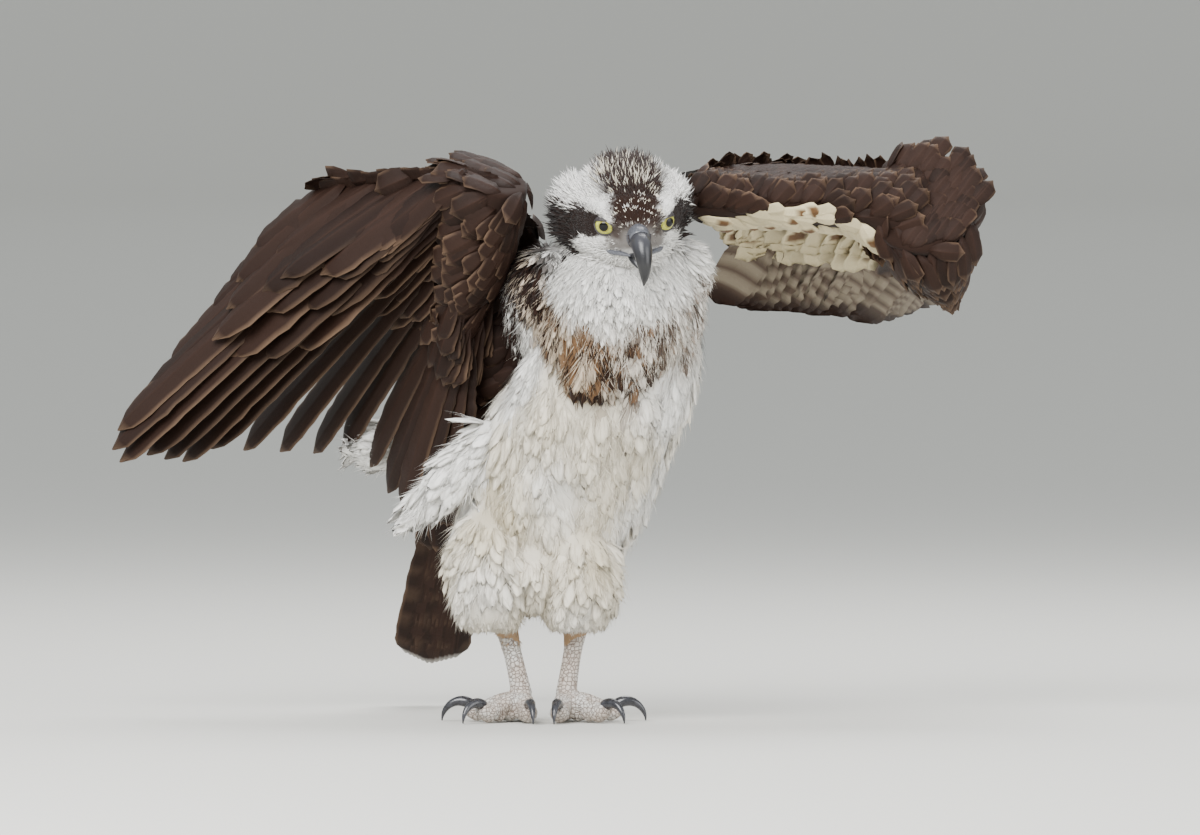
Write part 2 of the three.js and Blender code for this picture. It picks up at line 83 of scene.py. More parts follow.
def rod(points, radii, around=20, steps=24, flat=1.0, axis=(0, 0, 1)):
    """A round or oval closed rod through points, squeezed by flat along axis."""
    t = np.linspace(0, 1, steps)
    centres = along_row(points, t)
    tangent = unit(np.gradient(centres, axis=0))
    across = unit(np.cross(tangent, np.asarray(axis, float)))
    up = np.cross(across, tangent)
    r = np.maximum(along_row(np.asarray(radii, float)[:, None], t)[:, 0], 0.15)
    return loft(centres, across, up, r, r * flat, around)


def level_body(rings, inset, sideways=0.0, around=48, steps=44):
    """An upright body over level rings, each with its height, centre, half width and half depth."""
    rows = along_row(rings, np.linspace(0, 1, steps))
    centres = np.stack([rows[:, 1] + sideways, rows[:, 2], rows[:, 0]], 1)
    wide, deep = np.maximum(rows[:, 3] - inset, 2), np.maximum(rows[:, 4] - inset, 2)
    return loft(centres, (1, 0, 0), (0, 1, 0), wide, deep, around)


def build(name, verts, faces, smooth=True):
    """A mesh object from vertices in the bird's millimetres and its faces."""
    mesh = bpy.data.meshes.new(name)
    placed = (np.asarray(verts, float) - ORIGIN) * 0.001
    if isinstance(faces, np.ndarray):
        count, sides = faces.shape
        mesh.vertices.add(len(placed))
        mesh.vertices.foreach_set("co", placed.astype(np.float32).ravel())
        mesh.loops.add(count * sides)
        mesh.loops.foreach_set("vertex_index", faces.astype(np.int32).ravel())
        mesh.polygons.add(count)
        mesh.polygons.foreach_set("loop_start", np.arange(count, dtype=np.int32) * sides)
        mesh.update(calc_edges=True)
    else:
        mesh.from_pydata(placed.tolist(), [], faces)
        mesh.update()
    mesh.polygons.foreach_set("use_smooth", np.full(len(mesh.polygons), smooth))
    made = bpy.data.objects.new(name, mesh)
    bpy.context.collection.objects.link(made)
    return made


def fuse(name, parts, voxel, rounds):
    """Joins closed parts into one smooth closed skin."""
    verts, faces, start = [], [], 0
    for v, f in parts:
        verts.append(v)
        faces += [tuple(start + i for i in face) for face in f]
        start += len(v)
    made = build(name, np.vstack(verts), faces)
    bpy.context.view_layer.objects.active = made
    remesh = made.modifiers.new("fuse", "REMESH")
    remesh.mode = "VOXEL"
    remesh.voxel_size = voxel
    soften = made.modifiers.new("soften", "SMOOTH")
    soften.factor = 0.5
    soften.iterations = rounds
    for modifier in ("fuse", "soften"):
        bpy.ops.object.modifier_apply(modifier=modifier)
    made.data.polygons.foreach_set("use_smooth", np.full(len(made.data.polygons), True))
    return made


def turn(v, axis, angle):
    """v turned round axis by angle."""
    axis = unit(axis)
    along = axis * np.dot(axis, v)
    return v * math.cos(angle) + np.cross(axis, v) * math.sin(angle) + along * (1 - math.cos(angle))


# The head looks a little to its own left and well down.
HEAD_CENTRE = np.array([60.0, -48.0, 378.0])
yaw, pitch, tilt = (math.radians(a) for a in (14, 28, 4))
forward = np.array([math.sin(yaw) * math.cos(pitch), -math.cos(yaw) * math.cos(pitch), -math.sin(pitch)])
side = turn(np.array([math.cos(yaw), math.sin(yaw), 0.0]), forward, tilt)
crown = unit(np.cross(forward, side))


def in_head(f, s, u):
    """The place that lies f forward, s to the bird's left and u up in the head's own axes."""
    f, s, u = (np.asarray(x, float)[..., None] for x in (f, s, u))
    return HEAD_CENTRE + forward * f + side * s + crown * u


def head_axes(p):
    """How far each point lies forward, to the left and up in the head's own axes."""
    d = p - HEAD_CENTRE
    return d @ forward, d @ side, d @ crown


EYE = (19.0, 22.0, 7.5)
EYE_RADIUS = 8.0
head_rows = along_row([
    [-60, -9, 13, 11], [-53, -7, 31, 22], [-40, -4, 43, 29], [-24, -2, 46, 32], [-8, -1, 43, 33.5],
    [6, -1, 38, 32], [16, -1, 31.5, 28], [25, -3, 22.5, 20.5], [31, -5, 13, 13.5], [35, -6, 7, 8]],
    np.linspace(0, 1, 44))
head_part = loft(in_head(head_rows[:, 0], np.zeros(44), head_rows[:, 1]), side, crown, head_rows[:, 2],
                 head_rows[:, 3], 48)
neck_part = level_body([
    [243, 40, -34, 24, 20], [258, 42, -31, 48, 42], [288, 48, -26, 61, 53], [320, 52, -24, 60, 55],
    [346, 54, -14, 52, 48], [370, 55, 0, 46, 38], [392, 56, 10, 36, 26], [408, 54, 12, 18, 16]], 9)
trunk_part = level_body([
    [94, -8, 24, 30, 26], [104, -8, 28, 60, 50], [130, -4, 33, 72, 66], [168, 8, 30, 80, 76],
    [205, 20, 22, 83, 79], [242, 35, 12, 81, 76], [280, 47, 5, 76, 70], [316, 55, 2, 71, 62],
    [346, 57, 10, 64, 54], [370, 54, 20, 50, 42], [380, 50, 24, 26, 24]], 11)
rump_part = rod([(-10, 50, 205), (-40, 90, 206), (-68, 128, 192)], [48, 38, 15], flat=0.78)
puff_part = rod([(-30, 74, 206), (-84, 124, 205), (-128, 147, 203), (-144, 152, 203)],
                [20, 20, 15, 5], flat=0.9)
flank_part = rod([(-34, 2, 208), (-72, 4, 184), (-96, 6, 162), (-103, 7, 156)],
                 [24, 15, 8, 3], flat=0.7, axis=(0, 1, 0))


def egg(centre, radii, around=28):
    """A closed oval body."""
    w = np.linspace(0.02, 0.98, 20) * np.pi
    rise = np.asarray(centre, float) - np.cos(w)[:, None] * (0, 0, radii[2])
    return loft(rise, (1, 0, 0), (0, 1, 0), radii[0] * np.sin(w), radii[1] * np.sin(w), around)


shoulder_part = egg((94, 8, 338), (25, 31, 24))
breast_part = egg((0, 2, 312), (31, 33, 45))
blade_part = egg((-24, 44, 306), (24, 17, 80))
belly_part = egg((-11, -2, 112), (23, 27, 29))
THIGHS = {"left": 21, "right": -43}
thigh_rings = [[68, 0, -4, 17, 16], [73, 0, -4, 28, 28], [88, 0, -2, 35, 36], [108, 0, 2, 38, 42],
               [134, 0, 8, 35, 44], [158, 0, 14, 26, 34], [170, 0, 16, 12, 16]]
thigh_parts = {name: level_body(thigh_rings, 7, x, 32, 24) for name, x in THIGHS.items()}
# Short feathers run down the upper half of each shank.
shank_left = rod([(23, 6, 86), (20, 5, 68), (17.5, 4, 52)], [9.6, 8.7, 6.6], axis=(0, 1, 0))
shank_right = rod([(-35, 6, 86), (-31, 5, 68), (-27, 4, 52)], [9.6, 8.7, 6.6], axis=(0, 1, 0))

# The wings' joints, which way their upper sides face, and what their flight feathers reach out to.
WINGS = {
    "right": dict(
        shoulder=(-14, 30, 370), elbow=(-156, 78, 402), wrist=(-42, -34, 408), hand=(-62, 14, 298),
        facing=((-0.5, -0.62, 0.6), (-0.62, -0.78, -0.05)), bulk=(34, 29, 13),
        secondaries=[(-196, 114, 384), (-246, 114, 336), (-289, 106, 281), (-340, 88, 222), (-318, 98, 205),
                     (-276, 114, 207)],
        primaries=[(-248, 134, 208), (-206, 152, 203), (-172, 146, 204), (-142, 108, 178), (-122, 72, 158),
                   (-97, 52, 168), (-72, 40, 192)]),
    "left": dict(
        shoulder=(100, 16, 392), elbow=(188, 108, 397), wrist=(279, -8, 388), hand=(292, 90, 350),
        facing=((0.05, 0.3, 0.95), (0.12, 0.16, 0.98)), bulk=(46, 40, 15),
        secondaries=[(130, 236, 322), (152, 262, 318), (180, 274, 317), (206, 268, 318), (228, 258, 320)],
        primaries=[(238, 292, 314), (242, 340, 316), (250, 386, 318), (260, 424, 320), (274, 432, 324),
                   (290, 400, 330)]),
}
ARM_DEPTH = 27


def mix(a, b, t):
    """The place a share t of the way from a to b."""
    return np.asarray(a, float) * (1 - t) + np.asarray(b, float) * t


def arm_part(wing, inset):
    """A padded fold of skin between the shoulder, the elbow and the wrist."""
    s, e, w = (np.array(wing[k], float) for k in ("shoulder", "elbow", "wrist"))
    t = np.linspace(0, 1, 36)
    ahead = along_row([s, mix(s, w, 0.5), w], t)
    behind = along_row([mix(s, e, 0.4), e, mix(e, w, 0.6), w], t)
    half = np.linalg.norm(behind - ahead, axis=1) * 0.5
    across = unit((behind - ahead)[np.minimum(np.arange(36), 33)])
    cap = np.sqrt(1 - 0.92 * np.maximum(0, np.abs(t - 0.5) * 10 - 4) ** 2)
    facing = np.broadcast_to(unit(wing["facing"][0]), (36, 3))
    return loft((ahead + behind) / 2, across, facing, np.maximum((half + 18) * cap - inset, 2),
                np.maximum(ARM_DEPTH * cap - inset, 2), 36)


def hand_part(wing, inset):
    """The fleshy hand from the wrist, which carries the primaries."""
    w, h = (np.array(wing[k], float) for k in ("wrist", "hand"))
    radii = [r - inset for r in wing["bulk"]]
    return rod([w, mix(w, h, 0.5), h], radii, 24, 20, 0.94, unit(wing["facing"][1]))


flesh = {"head": head_part, "neck": neck_part, "trunk": trunk_part, "rump": rump_part, "puff": puff_part,
         "flank": flank_part, "shoulder": shoulder_part, "breast": breast_part, "blade": blade_part,
         "belly": belly_part, "thigh_left": thigh_parts["left"], "thigh_right": thigh_parts["right"],
         "shank_left": shank_left, "shank_right": shank_right}
for name, wing in WINGS.items():
    flesh["arm_" + name] = arm_part(wing, 5)
    flesh["hand_" + name] = hand_part(wing, 5)
brow_ahead, brow_across, brow_up = np.array([[30, 25, 14, 2], [9, 19, 28, 34], [9, 14.5, 16.5, 15]])
brows = [rod(in_head(brow_ahead, sign * brow_across, brow_up), [2.2, 3.9, 3.6, 1.5], 14, 30)
         for sign in (1, -1)]
skin = fuse("skin", list(flesh.values()) + brows, 0.0026, 8)
bpy.context.view_layer.objects.active = skin
skin.select_set(True)
bpy.ops.object.mode_set(mode="EDIT")
bpy.ops.mesh.select_all(action="SELECT")
bpy.ops.uv.smart_project(angle_limit=1.15, island_margin=0.001)
bpy.ops.object.mode_set(mode="OBJECT")
skin.data.uv_layers[0].name = "OFBake"
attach(skin, "root")
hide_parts("head", "neck", "torso", "thigh_left", "thigh_right")


class Sock:
    """A shader socket that takes arithmetic, so a pattern reads as a formula."""

    def __init__(self, tree, socket):
        self.tree, self.socket = tree, socket

    def node(self, kind, inputs, output=0, **settings):
        made = self.tree.nodes.new(kind)
        for key, value in settings.items():
            setattr(made, key, value)
        for key, value in inputs.items():
            if isinstance(value, Sock):
                self.tree.links.new(value.socket, made.inputs[key])
            else:
                made.inputs[key].default_value = value
        return Sock(self.tree, made.outputs[output])

    def math(self, operation, a, b=0.0):
        return self.node("ShaderNodeMath", {0: a, 1: b}, operation=operation)

    def __add__(self, other):
        return self.math("ADD", self, other)

    def __radd__(self, other):
        return self.math("ADD", other, self)

    def __sub__(self, other):
        return self.math("SUBTRACT", self, other)

    def __rsub__(self, other):
        return self.math("SUBTRACT", other, self)

    def __mul__(self, other):
        return self.math("MULTIPLY", self, other)

    def __rmul__(self, other):
        return self.math("MULTIPLY", other, self)

    def __truediv__(self, other):
        return self.math("DIVIDE", self, other)

    def __rtruediv__(self, other):
        return self.math("DIVIDE", other, self)

    def __pow__(self, other):
        return self.math("POWER", self, other)

    def __rpow__(self, other):
        return self.math("POWER", other, self)

    def step(self, low, high):
        """0 below low and 1 above high, smoothly joined."""
        return self.node("ShaderNodeMapRange", {"Value": self, "From Min": low, "From Max": high},
                         interpolation_type="SMOOTHSTEP")

    def blend(self, a, b):
        """Colour a where this is 0, colour b where it is 1."""
        return self.node("ShaderNodeMix", {0: self, 6: a, 7: b}, output=2, data_type="RGBA")


def material(name, roughness=0.6, **constants):
    """A new material with its Principled shader's constants set, its start socket and its shader."""
    made = bpy.data.materials.new(name)
    made.use_nodes = True
    shader = made.node_tree.nodes["Principled BSDF"]
    shader.inputs["Roughness"].default_value = roughness
    for key, value in constants.items():
        shader.inputs[key.replace("_", " ")].default_value = value
    coords = made.node_tree.nodes.new("ShaderNodeTexCoord")
    return made, Sock(made.node_tree, coords.outputs["Object"]), shader


def feed(socket, shader, name):
    socket.tree.links.new(socket.socket, shader.inputs[name])


def set_tint(made, colours):
    """Stores one colour for each vertex, for the material to read."""
    layer = made.data.color_attributes.new("Tint", "FLOAT_COLOR", "POINT")
    rgba = np.ones((len(colours), 4), np.float32)
    rgba[:, :3] = colours
    layer.data.foreach_set("color", rgba.ravel())


WHITE = np.array([0.88, 0.865, 0.83])
CREAM = np.array([0.76, 0.69, 0.55])
BUFF_SHADE = np.array([0.50, 0.42, 0.26])
RUFOUS = np.array([0.165, 0.085, 0.036])
BROWN = np.array([0.0225, 0.0108, 0.0072])
DARK = np.array([0.019, 0.0115, 0.0095])
TAN = np.array([0.42, 0.27, 0.15])


def ramp(x, low, high):
    """0 at low and 1 at high, smoothly joined. high may be the smaller."""
    t = np.clip((x - low) / (high - low), 0, 1)
    return t * t * (3 - 2 * t)


def paint(base, colour, share):
    """base covered by colour, by each point's share."""
    return base * (1 - share[:, None]) + np.asarray(colour) * share[:, None]


trees = {}
for name, (verts, _) in flesh.items():
    tree = kdtree.KDTree(len(verts))
    for i, v in enumerate(verts):
        tree.insert(v, i)
    tree.balance()
    trees[name] = tree
labels = list(flesh)


def part_of(points):
    """Which fleshy part each point lies nearest to, as a number in labels."""
    reach = np.array([[trees[name].find(p)[2] for name in labels] for p in points.tolist()])
    return reach.argmin(1)


def wave(p, size, seed):
    """Smooth noise between -1 and 1 from a few crossed waves."""
    total = np.zeros(len(p))
    source = np.random.default_rng(seed)
    for _ in range(5):
        k = source.normal(size=3)
        k = k / np.linalg.norm(k) * (2 * np.pi / size) * source.uniform(0.7, 1.4)
        total += np.sin(p @ k + source.uniform(0, 6.3))
    return total / 5


def plumage_colour(p, n, part, draw):
    """The bird's markings at points p with normals n. draw is one random number for each feather."""
    f, s, u = head_axes(p)
    a = np.abs(s)
    on = {name: part == labels.index(name) for name in labels}
    colour = np.tile(WHITE, (len(p), 1))
    # Cream over the breast, and olive-buff painted shade in smooth patches over the lower belly.
    body = ~on["head"]
    colour = paint(colour, CREAM, body * 0.9 * ramp(wave(p, 80, 3), -0.5, 0.45) * ramp(p[:, 2], 330, 240))
    colour = paint(colour, BUFF_SHADE, body * 0.5 * ramp(wave(p, 48, 4), 0.0, 0.7) * ramp(p[:, 2], 270, 190))
    # The necklace of streaked and blotched feathers, higher at the sides of the breast.
    off = p[:, 0] - 42
    middle = 272 + np.where(off < 0, 0.0215, 0.009) * off ** 2
    band = ramp(np.abs(p[:, 2] - middle) + 7 * wave(p, 26, 9), 36, 20) * ramp(n[:, 1], 0.35, 0.0) * (
        on["neck"] | on["trunk"] | on["shoulder"] | on["breast"])
    right = ramp(off, 34, -16)
    band *= 1 - 0.3 * ramp(off, 26, 52)
    colour = paint(colour, (0.47, 0.35, 0.23), band * (0.35 + 0.45 * right))
    colour = paint(colour, RUFOUS, band * (draw < 0.36 + 0.20 * right) * 0.95)
    colour = paint(colour, BROWN, band * (draw < 0.18 + 0.14 * right) * 0.95)
    # The brown back, the side of the neck and the rump.
    nigh = ramp(p[:, 0], 16, -6) * ramp(p[:, 2], 296, 322) * (on["neck"] | on["trunk"] | on["breast"])
    colour = paint(colour, BROWN, nigh * (draw < 0.72))
    tucked = ramp(p[:, 0], -15, -24) * ramp(p[:, 2], 250, 268) * ramp(p[:, 2], 335, 320)
    colour = paint(colour, BROWN, tucked * (on["trunk"] | on["breast"]) * (draw < 0.9))
    back = ramp(n[:, 1], 0.0, 0.28) * ramp(p[:, 2], 196, 214) * (
        on["trunk"] | on["neck"] | on["shoulder"] | on["rump"] | on["breast"])
    colour = paint(colour, BROWN, back)
    upper = on["rump"] * ramp(n[:, 2], -0.1, 0.25)
    colour = paint(colour, BROWN, upper)
    winged = on["arm_right"] | on["arm_left"] | on["hand_right"] | on["hand_left"] | on["blade"]
    colour = paint(colour, BROWN, winged)
    # White puffs of loosened feathers at the flank, behind the wing and at the shoulder.
    loose = on["puff"] | on["flank"]
    colour = paint(colour, WHITE, loose)
    shank = on["shank_left"] | on["shank_right"]
    colour = paint(colour, TAN, shank * ramp(p[:, 2], 84, 72) * np.where(draw < 0.75, 0.95, 0.3))
    # The head: a dark stripe through the eye that widens to the neck, and a streaked crown.
    head = on["head"] | (on["neck"] & (p[:, 2] > 318) & (a > 36) & (f < -14))
    low = np.interp(f, [-60, -40, -20, 0, 12, 24, 32], [-70, -64, -48, -20, -6, 1, 0]) - 30 * ramp(a, 38, 46)
    high = np.interp(f, [-60, -40, -20, 0, 12, 24, 32], [-12, -6, 1, 11, 17, 14, 7])
    edge = 2.6 * wave(p, 9, 5)
    stripe = ramp(u + edge, low - 1.5, low + 1.5) * ramp(u + edge, high + 1.5, high - 1.5) * ramp(a, 10, 15)
    colour = paint(colour, DARK, head * stripe)
    streak = ramp(a + 4.5 * wave(p, 8, 6), 23, 16) * ramp(u, 5, 11)
    centre = ramp(a, 11, 6) * ramp(u, 30, 24)
    colour = paint(colour, BROWN, head * streak * np.where(draw < 0.92 - 0.25 * centre, 1.0, 0.2))
    colour = paint(colour, CREAM, head * streak * (draw > 0.80) * 0.7)
    nape = ramp(f, -24, -40) * ramp(wave(p, 13, 8), -0.1, 0.15)
    colour = paint(colour, BROWN, head * nape * 0.85)
    lores = ramp(f, 13, 20) * ramp(a, 25, 19) * ramp(u + 0.35 * a, -8, -2) * ramp(u, 14, 9)
    colour = paint(colour, (0.075, 0.058, 0.050), head * lores * np.where(draw < 0.75, 0.85, 0.4))
    return colour


def skin_arrays():
    """The skin's triangles: corners in the bird's millimetres, their bake map, and each one's normal."""
    mesh = skin.data
    mesh.calc_loop_triangles()
    co = np.empty(len(mesh.vertices) * 3, np.float32)
    mesh.vertices.foreach_get("co", co)
    co = co.reshape(-1, 3).astype(float) * 1000 + ORIGIN
    tri = np.empty(len(mesh.loop_triangles) * 3, np.int32)
    mesh.loop_triangles.foreach_get("vertices", tri)
    loops = np.empty(len(tri), np.int32)
    mesh.loop_triangles.foreach_get("loops", loops)
    uv = np.empty(len(mesh.loops) * 2, np.float32)
    mesh.uv_layers["OFBake"].data.foreach_get("uv", uv)
    corners = co[tri.reshape(-1, 3)]
    normal = np.cross(corners[:, 1] - corners[:, 0], corners[:, 2] - corners[:, 0])
    return co, corners, uv.reshape(-1, 2)[loops.reshape(-1, 3)], normal


skin_points, skin_tris, skin_uv, skin_cross = skin_arrays()
skin_normal = np.empty(len(skin.data.vertices) * 3, np.float32)
skin.data.vertices.foreach_get("normal", skin_normal)
skin_normal = skin_normal.reshape(-1, 3).astype(float)
skin_marks = plumage_colour(skin_points, skin_normal, part_of(skin_points), np.full(len(skin_points), 0.5))
# Painted shade: the skin shows only between the feathers, in their markings darkened to four fifths.
set_tint(skin, skin_marks * 0.8)
plume, at, shader = material("soft_plumage", 0.9, Specular_IOR_Level=0.12, Sheen_Weight=0.06,
                             Sheen_Roughness=0.5)
tint = at.node("ShaderNodeAttribute", {}, attribute_name="Tint")
mottle = at.node("ShaderNodeTexNoise", {"Vector": at, "Scale": 160.0, "Detail": 4.0, "Roughness": 0.7})
feed(at.node("ShaderNodeMix", {0: mottle.step(0.3, 0.75) * 0.10, 6: tint, 7: (0.45, 0.40, 0.34, 1)}, output=2,
             data_type="RGBA", blend_type="MULTIPLY"), shader, "Base Color")
skin.data.materials.append(plume)

# Coat of body feathers
# Every body feather is a soft rounded web with a fringe of loose barbs over it, and the head's feathers
# are small fans of barbs alone. They are long and loose on the belly, short and close on the face.
EYES = [in_head(EYE[0], sign * EYE[1], EYE[2]) for sign in (1, -1)]
BILL_ROOT = in_head(30, 0, -3)
TUFT_PATCH = 0.003
TAIL_TIP = np.array([-92.0, 262.0, 28.0])
TAIL_ROOT = np.array([-66.0, 132.0, 190.0])


def scatter(spacing, seed, keep):
    """Roots spread over the skin, one to each cell of about the local spacing."""
    draw = np.random.default_rng(seed)
    area = np.linalg.norm(skin_cross, axis=1) / 2
    weight = area / spacing ** 2
    count = int(weight.sum() * 4)
    pick = draw.choice(len(area), count, p=weight / weight.sum())
    a, b = draw.random(count), draw.random(count)
    swap = a + b > 1
    a[swap], b[swap] = 1 - a[swap], 1 - b[swap]
    share = np.stack([1 - a - b, a, b], 1)[..., None]
    p = (skin_tris[pick] * share).sum(1)
    uv = (skin_uv[pick] * share).sum(1)
    n = unit(skin_cross[pick])
    cell = np.floor(p / (spacing[pick] * 0.92)[:, None]).astype(np.int64)
    key = cell @ np.array([1, 4096, 16777216]) * 64 + np.round(spacing[pick] * 4).astype(np.int64)
    first = np.unique(key, return_index=True)[1]
    first = first[keep(p[first], n[first], pick[first])]
    return p[first], n[first], uv[first], pick[first]


def lie_of(p, n, part):
    """The way the feathers point at p, laid in the skin's own plane."""
    out = np.tile([0.0, 0.22, -1.0], (len(p), 1))
    head = part == labels.index("head")
    out[head] = unit(p[head] - BILL_ROOT) + np.array([0, 0.35, 0.1])
    for name, way in (("puff", (-1, 0.35, -0.25)), ("flank", (-0.7, 0.1, -1)), ("shoulder", (0.5, 0.3, -1))):
        out[part == labels.index(name)] = way
    rump = part == labels.index("rump")
    out[rump] = unit(TAIL_TIP - TAIL_ROOT)
    out += 0.16 * np.stack([wave(p, 60, 11), wave(p, 60, 12), wave(p, 60, 13)], 1)
    out -= n * (out * n).sum(1)[:, None]
    return unit(out)


def coat_piece(name, verts, tris, colours, bake):
    """A joined mesh of tufts. Each tuft's verts, colours and bake map are one row of the arrays."""
    count, corners = verts.shape[:2]
    faces = (np.asarray(tris)[None] + np.arange(count)[:, None, None] * corners).reshape(-1, 3)
    made = build(name, verts.reshape(-1, 3), faces)
    set_tint(made, colours.reshape(-1, 3))
    layer = made.data.uv_layers.new(name="OFBake")
    laid = np.clip(bake.reshape(-1, 2), 0, 1)
    layer.data.foreach_set("uv", laid[faces.ravel()].astype(np.float32).ravel())
    made.data.materials.append(plume)
    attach(made, "root")
    return made


def sunk(p):
    """How deep between soft clumps of feathers a root lies, from 0 to 1. The head has no clumps."""
    return (0.5 - 0.5 * wave(p, 34, 16)) * ramp(p[:, 2], 330, 280)


def webs(name, p, n, uv, way, length, width, lift, curl, colour, seed):
    """The soft rounded webs of body feathers: closed cupped leaves with a frayed rim."""
    draw = np.random.default_rng(seed)
    m = len(p)
    t = np.array([0, 0.26, 0.52, 0.76, 0.92, 1.0])
    s = np.array([-1, -0.55, 0, 0.55, 1.0])
    outline = np.array([0.30, 0.80, 1.0, 0.90, 0.62, 0.16])
    swing = draw.normal(0, 0.13, m)[:, None]
    d = way * np.cos(swing) + np.cross(n, way) * np.sin(swing)
    d = d * np.cos(lift)[:, None] + n * np.sin(lift)[:, None]
    edge = unit(np.cross(n, d))
    up = np.cross(d, edge)
    half = width[:, None] / 2 * outline * (1 + draw.normal(0, 0.09, (m, 6)))
    fray = draw.normal(0, 0.075, (m, 6, 5)) * length[:, None, None] * ramp(t, 0.3, 1.0)[None, :, None]
    reach = length[:, None, None] * t[None, :, None] - width[:, None, None] * (0.20 * s ** 2)[None, None]
    reach = reach + fray
    rise = half[..., None] * 0.26 * (1 - s ** 2) - (curl * length)[:, None, None] * (t ** 2)[None, :, None]
    rise = rise + draw.normal(0, 0.22, (m, 6, 5))
    start = p - n * (0.8 + 3.2 * sunk(p))[:, None]
    top = start[:, None, None] + d[:, None, None] * reach[..., None]
    top = top + edge[:, None, None] * (half[..., None] * s)[..., None] + up[:, None, None] * rise[..., None]
    inner = top[:, 1:5, 1:4] - up[:, None, None] * 0.3
    verts = np.concatenate([top.reshape(m, 30, 3), inner.reshape(m, 12, 3)], 1)
    under = np.arange(30).reshape(6, 5)
    under[1:5, 1:4] = 30 + np.arange(12).reshape(4, 3)
    over = np.arange(30).reshape(6, 5)
    tris = []
    for i in range(5):
        for j in range(4):
            a, b, c, e = over[i, j], over[i, j + 1], over[i + 1, j + 1], over[i + 1, j]
            tris += [(a, b, c), (a, c, e)]
            a, b, c, e = under[i, j], under[i, j + 1], under[i + 1, j + 1], under[i + 1, j]
            tris += [(a, c, b), (a, e, c)]
    # Painted shade: each web is darker towards its covered root and on its underside.
    shade = np.concatenate([np.repeat(np.array([0.72, 0.84, 0.93, 0.98, 1, 1]), 5), np.full(12, 0.85)])
    tone = colour * draw.uniform(0.94, 1.04, m)[:, None]
    spot = np.stack(np.meshgrid(t, s * 0.5 + 0.5, indexing="ij"), 2).reshape(30, 2)[:, ::-1] - 0.5
    spot = np.concatenate([spot, spot.reshape(6, 5, 2)[1:5, 1:4].reshape(12, 2)])
    tone = tone[:, None] * shade[None, :, None]
    return coat_piece(name, verts, tris, tone, uv[:, None] + spot[None] * TUFT_PATCH)


def barbs(name, p, n, uv, way, length, width, spread, lift, curl, blades, colour, seed, ragged=0.3):
    """Loose barbs as fans of thin tapering closed blades, some from each root."""
    draw = np.random.default_rng(seed)
    m = len(p) * blades
    owner = np.repeat(np.arange(len(p)), blades)
    place = np.tile(np.linspace(-1, 1, blades), len(p))
    angle = place * spread[owner] + draw.normal(0, 0.10, m)
    across = np.cross(n, way)
    d = way[owner] * np.cos(angle)[:, None] + across[owner] * np.sin(angle)[:, None]
    raised = lift[owner] + draw.normal(0, 0.06, m)
    d = d * np.cos(raised)[:, None] + n[owner] * np.sin(raised)[:, None]
    edge = unit(np.cross(n[owner], d))
    up = np.cross(d, edge)
    reach = length[owner] * (1 - 0.16 * place ** 2) * (1 + draw.uniform(-ragged, ragged * 0.35, m))
    half = (width[owner] * draw.uniform(0.7, 1.2, m) / 2)[:, None]
    start = p[owner] - n[owner] * (0.6 + 3.2 * sunk(p))[owner][:, None]
    start = start + across[owner] * (place * width[owner] * 1.2)[:, None]
    sag = (curl[owner] * reach)[:, None]
    twist = (draw.normal(0, 0.14, m) * reach)[:, None]

    def middle(t):
        return start + d * (reach * t)[:, None] - up * (sag * t * t) + edge * (twist * t * t)

    verts = np.empty((m, 7, 3))
    for i, (t, wide) in enumerate(((0.0, 0.7), (0.6, 1.0))):
        verts[:, 3 * i] = middle(t) - edge * half * wide
        verts[:, 3 * i + 1] = middle(t) + edge * half * wide
        verts[:, 3 * i + 2] = middle(t) + up * np.maximum(half * 0.22, 0.09)
    verts[:, 6] = middle(1.0)
    tris = [(0, 1, 2), (4, 3, 6), (5, 4, 6), (3, 5, 6)]
    for a, b in ((0, 1), (1, 2), (2, 0)):
        tris += [(b, a, 3 + a), (b, 3 + a, 3 + b)]
    # Painted shade: each barb is darker at its root, down among the others.
    shade = np.array([0.80, 0.80, 0.80, 0.98, 0.98, 0.98, 1.0])
    tone = colour[owner] * draw.uniform(0.94, 1.05, m)[:, None]
    spot = np.array([[0, 0], [1, 0], [0.5, 0], [0, 0.6], [1, 0.6], [0.5, 0.6], [0.5, 1]]) - 0.5
    tone = tone[:, None] * shade[None, :, None]
    return coat_piece(name, verts, tris, tone, uv[owner][:, None] + spot[None] * TUFT_PATCH)


tri_middle = skin_tris.mean(1)
tri_part = part_of(tri_middle)
on_head = tri_part == labels.index("head")
f, s, u = head_axes(tri_middle)
# Spacing, length and so on change from the face, over the crown and breast, to the loose belly.
face = ramp(f, -12, 14) * on_head
winged = np.isin(tri_part, [labels.index(k) for k in labels if k.startswith(("arm", "hand", "blade"))])
backed = (unit(skin_cross)[:, 1] > 0.25) & (tri_middle[:, 2] > 205) & ~on_head
on_body = np.interp(tri_middle[:, 2], [60, 90, 240, 290, 330, 380], [3.6, 7.0, 7.0, 5.6, 5.1, 4.8])
spacing = np.where(on_head, 3.4 - 1.3 * face, on_body)
spacing = np.where(backed, 9.0, spacing)


def clear_of_face(p, n, tri):
    f, s, u = head_axes(p)
    from_eye = np.min([np.linalg.norm(p - eye, axis=1) for eye in EYES], axis=0)
    bill = (f > 25) & (np.hypot(s, u + 4) < 10.5)
    return (from_eye > EYE_RADIUS + 1.2) & ~bill & ~winged[tri] & (p[:, 2] > 50)


